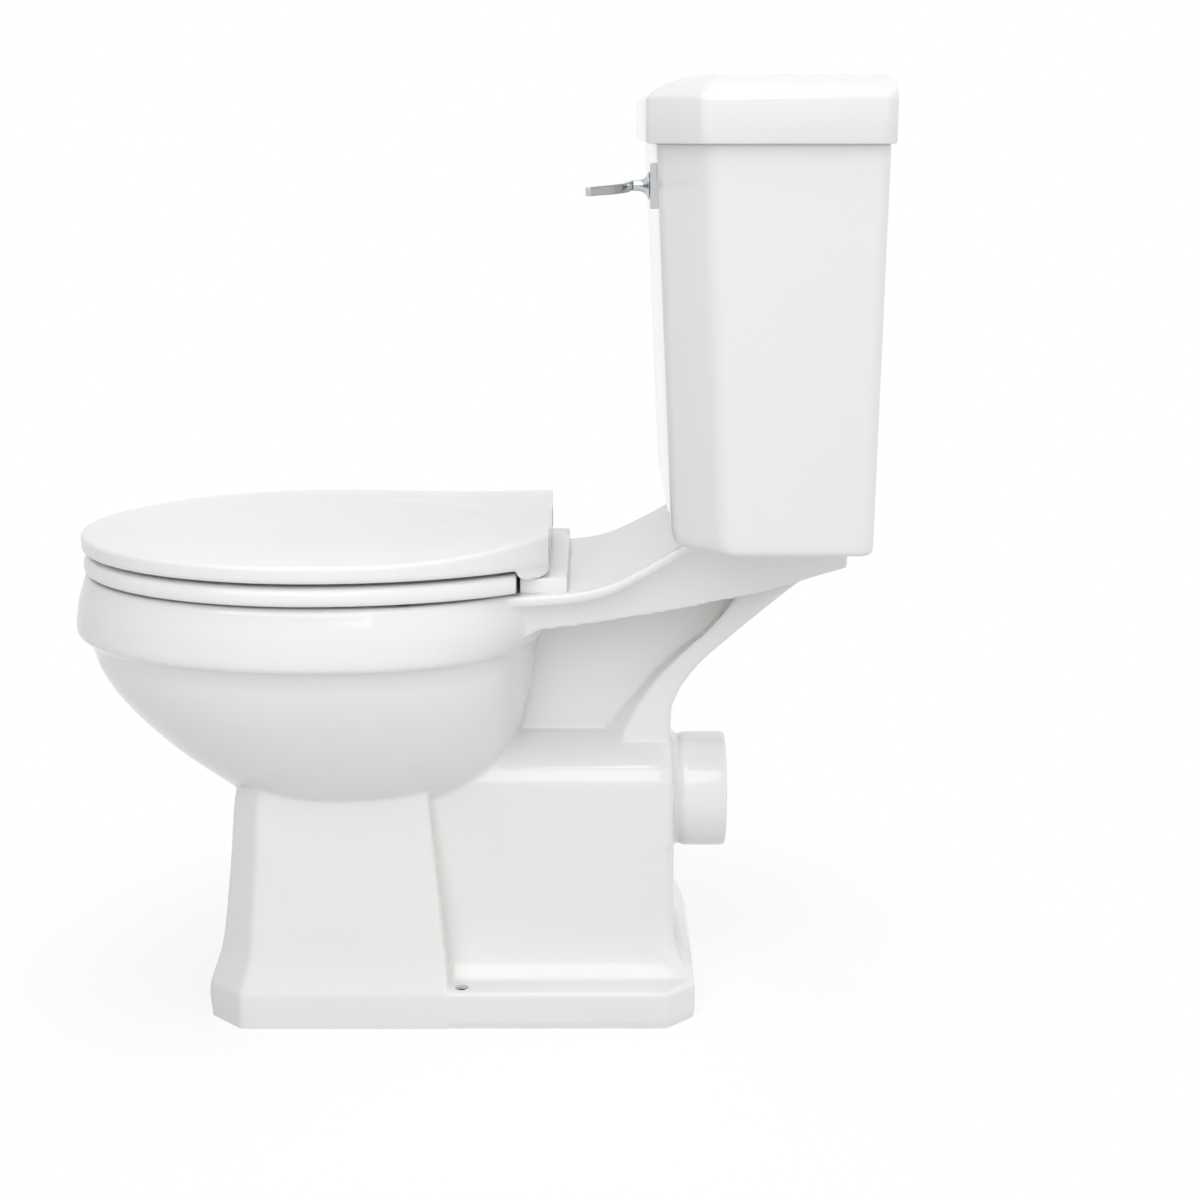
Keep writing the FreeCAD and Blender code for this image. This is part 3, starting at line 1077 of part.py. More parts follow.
def float_pivot():
    """The float arm's pivot."""
    return Vector(VALVE_X + FLOAT_PIVOT_X, SIPHON_Y, VALVE_STEM_TOP_Z + VALVE_HEAD - FLOAT_PIVOT_DROP)


def float_lug_span():
    """Inner and outer Y distance of the head's two lugs."""
    inner = FLOAT_ARM_WIDTH / 2 + HINGE_SIDE_GAP
    return inner, inner + LUG_WIDTH


def fill_valve_head():
    """The valve's head, with two lugs that carry the float arm."""
    head = upright(VALVE_HEAD_R, VALVE_X, SIPHON_Y, VALVE_STEM_TOP_Z, VALVE_STEM_TOP_Z + VALVE_HEAD)
    pivot = float_pivot()
    inner, outer = float_lug_span()
    lugs = []
    bores = []
    for side in SIDES:
        y0, y1 = mirrored(inner, outer, side)
        start, end = Vector(pivot.x, pivot.y + y0, pivot.z), Vector(pivot.x, pivot.y + y1, pivot.z)
        lugs += [box(VALVE_X, pivot.x, pivot.y + y0, pivot.y + y1, pivot.z - LUG_R, pivot.z + LUG_R),
                 rod(LUG_R, start, end)]
        bores.append(rod(FLOAT_PIN_R, start, end))
    return head.fuse(lugs).cut(bores).removeSplitter()


def float_pivot_pin():
    """The steel pin of the float arm."""
    pivot = float_pivot()
    reach = float_lug_span()[1]
    return rod(FLOAT_PIN_R, pivot - Y_AXIS * reach, pivot + Y_AXIS * reach)


def arm_end():
    """Where the float hangs from the arm at rest."""
    pivot = float_pivot()
    turn = math.radians(FLOAT_ARM_REST_DEG)
    return pivot + Vector(FLOAT_ARM_LENGTH * math.cos(turn), 0, -FLOAT_ARM_LENGTH * math.sin(turn))


def float_arm():
    """The float's lever, resting low with the tank empty."""
    pivot = float_pivot()
    half = FLOAT_ARM_WIDTH / 2
    barrel = rod(LUG_R, Vector(pivot.x, pivot.y - half, pivot.z), Vector(pivot.x, pivot.y + half, pivot.z))
    bar = box(pivot.x, pivot.x + FLOAT_ARM_LENGTH + half, pivot.y - half, pivot.y + half,
              pivot.z - FLOAT_ARM_HEIGHT / 2, pivot.z + FLOAT_ARM_HEIGHT / 2)
    bar.rotate(pivot, Y_AXIS, FLOAT_ARM_REST_DEG)
    bore = rod(FLOAT_PIN_R + PIN_RUNNING_FIT, Vector(pivot.x, pivot.y - half, pivot.z),
               Vector(pivot.x, pivot.y + half, pivot.z))
    end = arm_end()
    stud_hole = upright(FLOAT_STUD_R, end.x, end.y, end.z - FLOAT_STUD, end.z + FLOAT_STUD)
    return barrel.fuse(bar).cut([bore, stud_hole]).removeSplitter()


def float_stud():
    """The threaded stud that sets the float's height."""
    end = arm_end()
    return upright(FLOAT_STUD_R, end.x, end.y, end.z - FLOAT_STUD, end.z + FLOAT_STUD)


def float_cup():
    """The float, an upturned cup."""
    end = arm_end()
    top = end.z - FLOAT_STUD
    cup = upright(FLOAT_R, end.x, end.y, top - FLOAT_HEIGHT, top)
    foot = top - FLOAT_HEIGHT
    return cup.cut(upright(FLOAT_R - FLOAT_SKIN, end.x, end.y, foot - OVERSHOOT, top - FLOAT_SKIN))


def deck_nut(side):
    """Wing nut under the deck."""
    return wing_nut(side * SEAT_BOLT_X, SEAT_BOLT_Y, DECK_Z - DECK_PLATE - RUBBER_WASHER, SEAT_BOLT_R)


def deck_washer(side):
    """Rubber washer under the deck."""
    top = DECK_Z - DECK_PLATE
    return ring(WASHER_R, SEAT_BOLT_R, side * SEAT_BOLT_X, SEAT_BOLT_Y, top - RUBBER_WASHER, top)


def shelf_nut(side):
    """Wing nut under the cistern shelf."""
    return wing_nut(side * COUPLING_BOLT_X, SIPHON_Y, SHELF_Z - SHELF_WALL - WASHER, COUPLING_BOLT_R)


def shelf_washer(side):
    """Steel washer under the cistern shelf."""
    top = SHELF_Z - SHELF_WALL
    return ring(WING_NUT_R + WASHER_RIM, COUPLING_BOLT_R, side * COUPLING_BOLT_X, SIPHON_Y, top - WASHER, top)


def tank_bolt_seal(side):
    """Rubber washer under a coupling bolt's head."""
    return ring(WASHER_R, COUPLING_BOLT_R, side * COUPLING_BOLT_X, SIPHON_Y, TANK_FLOOR_Z, SEAL_TOP_Z)


def valve_nut():
    """Back nut of the fill valve, under the tank."""
    blank = hexagon(VALVE_NUT_R, VALVE_X, SIPHON_Y, TANK_BOTTOM_Z - VALVE_NUT, TANK_BOTTOM_Z)
    return blank.cut(upright(VALVE_SHANK_R, VALVE_X, SIPHON_Y, TANK_BOTTOM_Z - VALVE_NUT, TANK_BOTTOM_Z))


def siphon_nut():
    """Back nut of the siphon, under the tank."""
    blank = hexagon(SIPHON_NUT_R, SIPHON_X, SIPHON_Y, TANK_BOTTOM_Z - SIPHON_NUT, TANK_BOTTOM_Z)
    return blank.cut(upright(TAIL_R, SIPHON_X, SIPHON_Y, TANK_BOTTOM_Z - SIPHON_NUT, TANK_BOTTOM_Z))


PIECES = {
    "pan_bowl": pan_bowl(),
    "pan_trapway": pan_trapway(),
    "pan_foot": pan_foot(),
    "pan_shelf": pan_shelf(),
    "outlet_spigot": outlet_spigot(),
    "cistern_tank": cistern_tank(),
    "cistern_lid": cistern_lid(),
    "seat_lid": seat_lid(),
    "seat_ring": seat_ring(),
    "hinge_plate": hinge_plate(),
    "hinge_pins": both_sides(hinge_pin),
    "lid_buffers": buffers(LID_BUFFER_PLACES, RING_TOP_Z + SEAT_GAP, LID_BOTTOM_Z),
    "ring_buffers": buffers(RING_BUFFER_PLACES, RIM_TOP_Z + SEAT_GAP, RING_BOTTOM_Z),
    "seat_bolts": both_sides(seat_bolt),
    "seat_bolt_washers": both_sides(deck_washer),
    "seat_wing_nuts": both_sides(deck_nut),
    "coupling_bolts": both_sides(coupling_bolt),
    "coupling_bolt_seals": both_sides(tank_bolt_seal),
    "coupling_washers": both_sides(shelf_washer),
    "coupling_wing_nuts": both_sides(shelf_nut),
    "coupling_seal": coupling_seal(),
    "siphon_body": siphon_body(),
    "siphon_washer": ring(SIPHON_FLANGE_R, TAIL_R, SIPHON_X, SIPHON_Y, TANK_FLOOR_Z, SEAL_TOP_Z),
    "siphon_back_nut": siphon_nut(),
    "lift_rod": upright(ROD_R, ROD_X, SIPHON_Y, plunger_z(), lift_rod_top()),
    "lift_link": lift_link(),
    "siphon_plunger": siphon_plunger(),
    "siphon_diaphragm": ring(PLUNGER_R + DIAPHRAGM_OVERHANG, ROD_R, ROD_X, SIPHON_Y, plunger_z() + PLUNGER,
                             plunger_z() + PLUNGER + DIAPHRAGM),
    "lever_escutcheon": lever_escutcheon(),
    "lever_bush": lever_bush(),
    "lever_washer": lever_washer(),
    "lever_back_nut": lever_back_nut(),
    "flush_lever": flush_lever(),
    "trip_arm": trip_arm(),
    "trip_arm_screw": trip_turned(trip_screw_blank(LEVER_Z + SPINDLE_R)),
    "fill_valve_stem": fill_valve_stem(),
    "fill_valve_head": fill_valve_head(),
    "fill_valve_washer": ring(VALVE_FLANGE_R, VALVE_SHANK_R, VALVE_X, SIPHON_Y, TANK_FLOOR_Z, SEAL_TOP_Z),
    "fill_valve_back_nut": valve_nut(),
    "float_pivot_pin": float_pivot_pin(),
    "float_arm": float_arm(),
    "float_stud": float_stud(),
    "float": float_cup(),
}

for piece_name, piece_shape in PIECES.items():
    save(piece_name, piece_shape)
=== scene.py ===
import json
import math

import bmesh
import bpy
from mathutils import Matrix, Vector


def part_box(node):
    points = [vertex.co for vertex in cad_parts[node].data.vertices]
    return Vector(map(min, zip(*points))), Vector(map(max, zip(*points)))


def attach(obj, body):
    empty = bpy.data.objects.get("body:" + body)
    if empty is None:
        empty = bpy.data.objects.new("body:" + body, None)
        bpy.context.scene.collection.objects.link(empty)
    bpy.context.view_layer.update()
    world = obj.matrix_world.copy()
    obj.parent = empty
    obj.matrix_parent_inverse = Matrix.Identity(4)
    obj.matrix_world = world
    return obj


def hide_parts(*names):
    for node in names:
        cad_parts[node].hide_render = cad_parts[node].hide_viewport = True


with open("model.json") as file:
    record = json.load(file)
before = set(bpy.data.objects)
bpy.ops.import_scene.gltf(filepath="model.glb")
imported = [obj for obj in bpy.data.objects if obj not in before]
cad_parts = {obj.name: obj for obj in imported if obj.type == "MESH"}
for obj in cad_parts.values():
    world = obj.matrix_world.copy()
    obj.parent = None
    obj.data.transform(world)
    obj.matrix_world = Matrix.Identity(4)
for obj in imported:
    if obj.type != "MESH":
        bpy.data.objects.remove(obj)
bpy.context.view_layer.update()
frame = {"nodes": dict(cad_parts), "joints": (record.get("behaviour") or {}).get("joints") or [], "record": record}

bl_info = {
    "name": "Close-coupled toilet",
    "version": (1, 0, 0),
    "blender": (4, 5, 0),
    "location": "View3D > Sidebar > Toilet",
    "description": "Dresses the packed toilet: glazed pan and cistern, seat, lever, fittings, white stage",
    "category": "Object",
}

MM = 0.001
SIDES = (-1, 1)


def cad_box(node):
    """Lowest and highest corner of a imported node, in millimetres."""
    low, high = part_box(node)
    return low / MM, high / MM


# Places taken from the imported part, in millimetres
BOWL_LOW, BOWL_HIGH = cad_box("pan_bowl")
FOOT_LOW, FOOT_HIGH = cad_box("pan_foot")
SHELF_TOP_Z = cad_box("pan_shelf")[1].z
SPIGOT_LOW, SPIGOT_HIGH = cad_box("outlet_spigot")
SPIGOT_Z = (SPIGOT_LOW.z + SPIGOT_HIGH.z) / 2
TANK_LOW, TANK_HIGH = cad_box("cistern_tank")
COVER_LOW, COVER_HIGH = cad_box("cistern_lid")
SEAT_LID_LOW, SEAT_LID_HIGH = cad_box("seat_lid")
RING_LOW, RING_HIGH = cad_box("seat_ring")
HINGE_LOW, HINGE_HIGH = cad_box("hinge_plate")
# The first joint is the seat's hinge
HINGE_Y, HINGE_Z = (Vector(frame["joints"][0]["pos_m"]) / MM)[1:]
PLATE_LOW, PLATE_HIGH = cad_box("lever_escutcheon")
LEVER_X = (PLATE_LOW.x + PLATE_HIGH.x) / 2
LEVER_Z = (PLATE_LOW.z + PLATE_HIGH.z) / 2
LEVER_BACK_Y = cad_box("flush_lever")[1].y

# How far a plug stands out of what it cuts: in thin plates, and in the tank and the knuckles
CLEAR = 2.0
LONG_CLEAR = 5.0

# Pan, in millimetres
RIM_WIDEST_Y = -115.0
# How square the rim's back is, where 2 is an ellipse
RIM_BLUNTNESS = 2.5
# The rim band and the bowl: depth below the rim, and how far front, sides and back draw in
BOWL_ROWS = (
    (0.0, 13.0, 13.0, 13.0), (0.9, 10.6, 10.6, 10.8), (3.6, 8.9, 8.9, 9.6), (7.0, 7.9, 7.9, 9.0),
    (15.5, 5.2, 5.2, 8.0), (24.0, 2.9, 2.9, 8.5), (33.0, 1.4, 1.4, 11.0), (42.0, 0.2, 0.2, 16.0),
    (46.5, 0.2, 0.2, 19.0), (49.4, 0.8, 0.8, 21.5), (51.0, 2.2, 2.2, 23.0), (52.2, 4.6, 4.6, 24.5),
    (55.5, 7.8, 7.8, 26.0), (60.5, 11.0, 10.8, 27.2), (68.0, 14.2, 13.8, 28.5), (80.0, 18.0, 17.0, 29.5),
    (98.5, 28.4, 24.0, 32.5), (116.5, 42.2, 33.5, 36.5), (134.5, 59.4, 45.0, 41.0), (153.0, 79.0, 59.0, 47.0),
    (171.5, 102.6, 76.0, 56.0), (190.0, 127.0, 96.0, 68.0), (203.0, 147.0, 113.0, 80.0))
# Where a body's rings are set, span by span: start, end and number of steps
BOWL_SPANS = ((0.0, 4.0, 6), (4.0, 72.0, 44), (72.0, 203.0, 50))
# The bowl's hollow: height, front, half width, back and the line of its greatest width
HOLLOW_ROWS = (
    (400.0, -297.0, 141.0, 17.0, -115.0), (385.7, -295.5, 139.0, 15.0, -115.0),
    (383.6, -292.0, 135.6, 11.5, -115.0), (380.0, -289.4, 133.0, 9.0, -115.0),
    (373.0, -288.5, 132.0, 8.0, -115.0), (340.0, -288.5, 132.0, 8.0, -115.0),
    (339.0, -314.0, 157.0, 29.0, -115.0), (310.5, -309.5, 154.0, 28.0, -115.0),
    (274.5, -287.5, 138.0, 22.0, -115.0), (237.5, -251.5, 112.0, 12.0, -110.0),
    (190.5, -190.0, 68.0, 5.0, -95.0), (150.0, -165.0, 56.0, 4.0, -80.0), (70.0, -145.0, 46.0, -4.0, -80.0),
    (50.0, -135.0, 38.0, -12.0, -80.0), (43.0, -118.0, 22.0, -30.0, -80.0))
HOLLOW_SPANS = ((43.0, 50.0, 4), (50.0, 339.0, 60), (339.0, 340.0, 1), (340.0, 373.0, 6), (373.0, 386.5, 18),
                (386.5, 400.0, 1))
# The deck: Y, half width, top, the apron's lower edge as height and half width, thickness of the plate
DECK_ROWS = (
    (14.0, 125.0, 385.5, 333.0, 110.0, 16.0), (34.0, 124.5, 385.5, 335.5, 109.5, 16.0),
    (48.0, 124.0, 385.5, 341.5, 109.0, 16.0), (58.0, 123.5, 385.6, 347.4, 108.4, 16.0),
    (71.0, 122.5, 385.8, 353.0, 107.4, 16.0), (98.0, 120.0, 387.6, 355.8, 104.5, 16.0),
    (118.0, 117.5, 391.0, 358.0, 101.5, 15.0), (136.0, 115.0, 397.2, 360.4, 98.5, 14.0),
    (169.0, 110.5, 414.6, 364.4, 92.5, 13.0), (193.0, 108.5, 428.4, 367.8, 88.0, 13.0),
    (214.0, 107.5, 437.0, 371.5, 83.5, 13.0), (254.0, 106.0, 438.0, 378.6, 79.0, 13.0),
    (327.5, 102.0, 438.0, 399.6, 76.0, 13.0))
# Height of the deck's upright lip, and the bevel along its top
DECK_LIP = 8.0
DECK_EDGE = 2.0
# The apron's bend: its share of the way out from the lower edge, and down from the lip
APRON_BEND = (0.22, 0.2)
APRON_WALL = 12.0
APRON_DRAFT = 2.0
# The web under the deck as Y and Z: its smooth top edge, and the rest of its outline
WEB_HALF_WIDTH = 18.0
WEB_TOP = ((30.0, 372.0), (98.0, 372.0), (150.0, 384.0), (214.0, 424.0), (290.0, 424.0))
WEB_FOOT = ((214.0, 330.0), (172.0, 290.0), (160.0, 205.0), (30.0, 205.0))
# The rib behind the web: its back, its crest's front edge and the line where it leaves the web
RIB_BACK = ((183.0, 195.0), (183.0, 258.0), (186.2, 272.0), (190.4, 282.0), (197.4, 293.0), (210.2, 308.7),
            (227.2, 324.0), (243.6, 338.3), (269.4, 360.0), (294.6, 380.0), (314.6, 393.0), (326.0, 401.0),
            (326.0, 424.0))
RIB_CREST = ((262.6, 422.4), (250.6, 388.4), (234.6, 364.2), (228.6, 355.2), (212.4, 336.6), (191.8, 317.4),
             (173.2, 298.4), (164.2, 286.4), (154.8, 271.8), (147.8, 257.2), (141.2, 240.6), (138.0, 192.4))
RIB_FOOT = ((259.4, 419.8), (245.4, 385.6), (232.0, 361.4), (225.4, 346.2), (209.0, 328.0), (189.8, 315.0),
            (165.6, 292.8), (152.4, 276.6), (139.2, 261.4), (129.0, 248.8), (123.0, 241.8), (121.0, 189.0))
# Across the rib: half width, share of the way from foot to crest, how far its back draws in
RIB_ROWS = ((16.0, 0.0, 0.0), (28.0, 0.5, 0.4), (37.4, 0.9, 2.4), (39.0, 1.0, 6.0))
# The trap block: height, half width and back
BLOCK_ROWS = ((-10.0, 87.0, 201.0), (33.0, 86.0, 200.0), (39.0, 81.0, 195.0), (49.0, 76.0, 189.6),
              (63.0, 73.2, 186.2), (84.0, 72.0, 184.8), (204.0, 72.0, 184.6))
BLOCK_SPANS = ((-10.0, 33.0, 2), (33.0, 84.0, 16), (84.0, 204.0, 3))
BLOCK_FRONT_Y = -60.0
# Corner cuts are given as front and back, here and below
BLOCK_CUTS = (3.0, 9.0)
BLOCK_CORNER = 10.0
# The buttress behind the block, as Y and Z
BUTTRESS_HALF_WIDTH = 50.0
BUTTRESS_EDGE = 6.0
BUTTRESS_PROFILE = ((160.0, 4.0), (203.5, 4.0), (203.0, 30.0), (201.4, 42.0), (200.0, 51.0), (197.8, 60.0),
                    (194.6, 69.0), (190.0, 78.0), (185.0, 87.0), (179.0, 94.0), (160.0, 94.0))
# The block's arched top across it, and along Y how far it draws in above the shoulder
BLOCK_ARCH = ((72.0, 150.0), (72.0, 203.0), (70.6, 211.0), (66.0, 219.5), (57.0, 227.5), (43.0, 235.0),
              (23.0, 241.5), (0.0, 244.0))
BLOCK_TOP_ROWS = ((BLOCK_FRONT_Y, 0.0), (174.0, 0.0), (180.0, 1.6), (183.0, 6.0))
BLOCK_SHOULDER_Z = 190.0
# The pedestal: height, half width, front, back and corner cut
PEDESTAL_ROWS = ((-10.0, 113.0, -221.0, -10.0, 31.0), (30.0, 113.0, -221.0, -10.0, 31.0),
                 (36.0, 110.5, -219.5, -11.0, 31.0), (46.0, 107.0, -216.0, -12.0, 30.0),
                 (60.0, 103.4, -211.6, -13.4, 29.0), (84.0, 100.4, -207.8, -15.8, 27.5),
                 (140.0, 94.2, -201.8, -21.2, 25.5), (198.0, 88.0, -196.6, -27.0, 24.0),
                 (216.0, 84.0, -190.6, -30.0, 24.0))
PEDESTAL_SPANS = ((-10.0, 30.0, 2), (30.0, 84.0, 18), (84.0, 216.0, 12))
PEDESTAL_BACK_CUT = 3.0
PEDESTAL_CORNER = 10.0
PLINTH_CUTS = (33.0, 25.0)
PLINTH_CORNER = 8.0
# Up the plinth: height and inset
PLINTH_ROWS = ((-10.0, 1.6), (1.0, 1.2), (5.0, -0.4), (12.0, -1.6), (21.0, -2.0), (28.0, -1.2), (31.6, 0.4),
               (33.0, 3.0))
# The soil spigot along Y: place and radius
SPIGOT_ROWS = ((150.0, 57.0), (180.0, 57.0), (184.0, 54.0), (187.0, 49.5), (190.0, 48.2), (192.0, 50.2),
               (194.0, 51.0), (229.6, 51.0), (231.0, 50.3), (231.5, 49.0))
SPIGOT_SIDES = 96
SPIGOT_BORE = 40.0
SOIL_WAY_START_Y = 150.0
# The trapway's middle line from the bowl's foot to the spigot, as Y and Z
TRAP_PATH = ((-67.0, 84.0), (-20.0, 84.0), (20.0, 96.0), (60.0, 140.0), (92.0, 178.0), (128.0, 190.0),
             (160.0, 184.0), (190.0, 182.0))
TRAP_BORE = 36.0
# The water inlet in the shelf: place in X and Y, radius and foot; the horn is the china round it
INLET = (0.0, 254.0, 44.0, 398.0)
HORN_RADIUS = 54.0
HORN_Z = (388.0, SHELF_TOP_Z - 6.0)
# The bolts between tank and pan: place in X and Y, and radius of their holes
COUPLING_BOLT = (74.0, 254.0, 4.3)
# Round plugs cut out on both sides of the pan: place in X and Y, radius, foot and top
SIDE_HOLES = {"seat bolt hole": (78.0, 84.0, 6.0, 345.0, 390.0), "nut room": (78.0, 84.0, 17.0, 310.0, 369.5),
              "floor hole": (100.0, 0.0, 6.0, 5.0, 50.0), "screw room": (86.0, 0.0, 22.0, 5.0, 29.0),
              "coupling hole": (*COUPLING_BOLT, 405.0, 442.0)}
# The open underside: height, and distance in from the plinth
UNDERSIDE_ROWS = ((-20.0, 11.0), (19.0, 11.0), (22.0, 14.0))
# The block that cuts the casting off level with the floor: half its size, and its depth
GROUND = (400.0, 60.0)

# Cistern, in millimetres
# The tank at its top and bottom: half width, front and back
TANK_TOP = (227.0, TANK_LOW.y, TANK_HIGH.y + 1.0)
TANK_BOTTOM = (219.0, 176.0, 330.8)
TANK_CUTS = (38.0, 8.0)
TANK_WALL = 10.0
TANK_FLOOR = 12.0
TANK_LIP = 1.0
# Round the tank's foot: height above the bottom, inset at sides and back, inset at the front
TANK_FOOT_ROWS = ((0.0, 5.0, 12.0), (0.4, 3.0, 8.6), (1.6, 1.3, 5.6), (3.4, 0.4, 3.4), (6.0, 0.0, 1.8),
                  (10.0, 0.0, 0.7), (16.0, 0.0, 0.0))
# Inside the tank, down to its floor: height above the floor, and distance in from the wall
TANK_INSIDE_ROWS = ((14.0, 0.0), (8.0, 0.8), (3.5, 3.0), (0.9, 7.0), (0.0, 14.0))
COVER_CUTS = (40.0, 9.0)
# The cover's outside: height above its foot, inset at front and sides, inset at the back
COVER_ROWS = ((0.0, 2.2, 2.2), (0.7, 0.7, 0.7), (2.2, 0.0, 0.0), (31.4, 0.0, 0.0), (33.4, 0.4, 0.1),
              (35.2, 1.6, 0.3), (38.0, 4.8, 0.5), (41.6, 10.6, 0.8), (44.6, 17.4, 1.1), (47.0, 24.4, 1.5),
              (49.0, 32.0, 2.0), (50.4, 40.0, 2.8), (51.0, 46.0, 4.0), (51.2, 52.0, 6.0))
COVER_RIDGE_GAP = 12.0
COVER_RIDGE_WALL = 7.0
COVER_RIDGE_DROP = 12.0
COVER_RIDGE_CORNER = 8.0
COVER_ROOF = 23.0
SIPHON_HOLE = 24.3
VALVE_HOLE = 11.3
VALVE_X = -160.0
# Holes through the tank's front and back walls: radius, and start and end of the plug along Y
LEVER_HOLE = (10.3, 150.0, 190.0)
WALL_SCREW_HOLE = (4.0, 310.0, 345.0)
# The wall screws' place in X and Z
WALL_SCREW = (150.0, 690.0)

# Lever, in millimetres
# The spindle and the neck: distance in front of the face plate, and radius
NECK_ROWS = ((-8.0, 5.0), (0.2, 5.0), (0.3, 11.4), (0.8, 11.6), (1.6, 9.4), (2.5, 7.6), (3.6, 6.2),
             (5.2, 5.1), (7.6, 4.3), (12.0, 4.0), (16.0, 3.8), (18.4, 3.4), (19.4, 2.2))
# The blade's middle line: distance outwards along the tank and in front of the face plate
LEVER_ARM = ((-2.0, 15.0), (8.0, 16.0), (20.0, 18.0), (34.0, 22.6), (48.0, 30.6), (61.0, 40.6), (69.0, 47.4))
# Half thickness of the blade, half height at its root, and how much it loses towards its end
LEVER_BLADE = (2.4, 3.9, 0.5)
# The caps on the blade's ends: length, and how much smaller they are all round
LEVER_CAP = (0.6, 0.7)
LEVER_BLUNTNESS = 6.0
# How far the blade's end hangs below its root
LEVER_FALL = 2.6

# Seat, in millimetres
SEAT_REAR_Y = 124.6
# The block that cuts off what is behind the seat: half width, length, foot and top
SEAT_TRIM = (250.0, 90.0, 370.0, 470.0)
# The lid's underside above the ring's
LID_LIFT = 18.8
# The lid's edge from its underside to its top: inset, height above the underside, share of the rear rise
LID_ROWS = ((40.0, 0.6, 0.0), (4.2, 0.0, 0.0), (1.3, 0.9, 0.0), (0.0, 3.2, 0.0), (0.0, 10.8, 0.6),
            (0.1, 12.6, 0.9), (0.7, 13.8, 0.99), (2.2, 14.6, 1.0))
# The lid's crown: how far in it reaches from the edge, its rise, and how soon it flattens
LID_CROWN = (100.0, 10.9, 2.6)
# The lid rises towards its back: where that starts, how far it goes, and how steeply
LID_RISE_START_Y = -60.0
LID_REAR_RISE = 13.4
LID_RISE_POWER = 2.0
# The heel under the lid's back: its section, half width, inset from the lid's edge, and room for its outline
HEEL_PROFILE = ((52.0, 414.0), (51.5, 406.0), (53.5, 401.0), (58.0, 398.9), (70.0, 398.7), (74.5, 400.0),
                (77.4, 404.0), (80.0, 412.0), (80.0, 424.0), (62.0, 424.0))
HEEL_HALF_WIDTH = 150.0
HEEL_INSET = 1.5
HEEL_Z = (380.0, 450.0)
RING_BACK_Y = 51.0
# The ring's opening: front, back and half width
RING_OPENING = (-258.0, -22.0, 112.0)
# Across the ring from outside to inside: distance in from the nearer edge, height above the underside
RING_OUTER_ROWS = ((6.0, 0.0), (1.6, 0.5), (0.2, 2.4), (0.0, 7.0), (0.8, 11.4), (3.2, 14.4), (8.0, 15.6))
RING_INNER_ROWS = ((16.0, 15.4), (7.0, 13.8), (2.6, 11.0), (0.5, 7.0), (0.4, 3.0), (2.0, 0.6), (6.0, 0.0))
# The ring's knuckles: start and end across, radius, the arm that carries each as Y and Z, and its rounding
KNUCKLE_X = (50.9, 68.9)
KNUCKLE_RADIUS = 10.0
KNUCKLE_ARM = ((28.0, 391.0), (66.0, 403.0), (59.0, 413.0), (50.0, 404.0), (28.0, 404.0))
KNUCKLE_EDGE = 1.5
# The notches in the lid's heel that clear knuckles and posts, and the bore for the hinge pins
NOTCH_X = (50.3, 87.1)
NOTCH_RADIUS = 15.8
PIN_BORE = 4.05
# The hinge plate: thickness over the bolt heads, rounding, and its posts' places across and radius
HINGE_PLATE = (12.5, 1.6)
HINGE_POST = (69.5, 86.5, 10.0)

# Stage, in metres and degrees
# Each lamp's place, and the width and height of its soft face
TOP_LAMP = ((0.35, -0.05, 2.3), (0.9, 1.15))
KEY_LAMP = ((2.15, -0.8, 2.3), (2.8, 2.0))
LOW_LAMP = ((2.5, -0.6, 1.0), (1.6, 1.2))
LAMP_AIM = (0.0, 0.0, 0.4)
CAMERA_PLACE = (1.79361, 0.11475, 0.76232)
CAMERA_PITCH = 12.799
CAMERA_SHIFT = 0.00495
SENSOR_WIDTH = 36.0
FLOOR_SIDES = 96
# Distance from the middle where the dark under the plinth ends, and the share of white next to it
FLOOR_DARK = (0.1, 0.11)
FLOOR_NEAR_WHITE = 0.8
# Distance over which the floor goes from there to full white
FLOOR_FADE = (0.25, 0.6)

# Packed fittings: gap that is welded, in metres, and in degrees what counts as flat and as an edge
WELD_GAP = 0.00001
FLAT_ANGLE = 1.0
EDGE_ANGLE = 40.0

# A mix node's colour sockets and its colour output, by number
FIRST_COLOUR, SECOND_COLOUR, MIXED_COLOUR = 6, 7, 2
# Spacing of a wave texture's bands at scale 1, in millimetres
WAVE_SPACING = 314.16
# The most of a side that the arc of a cut corner may take, and the least cut in millimetres
ARC_SHARE = 0.45
LEAST_CUT = 1.0


def linear(code):
    """An sRGB hex colour as linear values with full alpha."""
    values = []
    for place in (0, 2, 4):
        share = int(code[place:place + 2], 16) / 255
        values.append(share / 12.92 if share <= 0.04045 else ((share + 0.055) / 1.055) ** 2.4)
    return values + [1.0]


def mesh_piece(name, points, faces):
    """A new object from points in millimetres, with its faces turned outwards."""
    mesh = bpy.data.meshes.new(name)
    mesh.from_pydata([Vector(point) * MM for point in points], [], faces)
    work = bmesh.new()
    work.from_mesh(mesh)
    bmesh.ops.recalc_face_normals(work, faces=work.faces)
    work.to_mesh(mesh)
    work.free()
    piece = bpy.data.objects.new(name, mesh)
    bpy.context.scene.collection.objects.link(piece)
    return piece


def loft(name, rings, closed=False):
    """A skin through rings of points, capped at both ends or closed round to its first ring."""
    count = len(rings[0])
    points = [point for ring in rings for point in ring]
    faces = []
    spans = len(rings) if closed else len(rings) - 1
    for level in range(spans):
        here = level * count
        above = (level + 1) % len(rings) * count
        for step in range(count):
            after = (step + 1) % count
            faces.append((here + step, here + after, above + after, above + step))
    if not closed:
        faces.append(tuple(range(count)))
        faces.append(tuple(range((len(rings) - 1) * count, len(rings) * count)))
    return mesh_piece(name, points, faces)


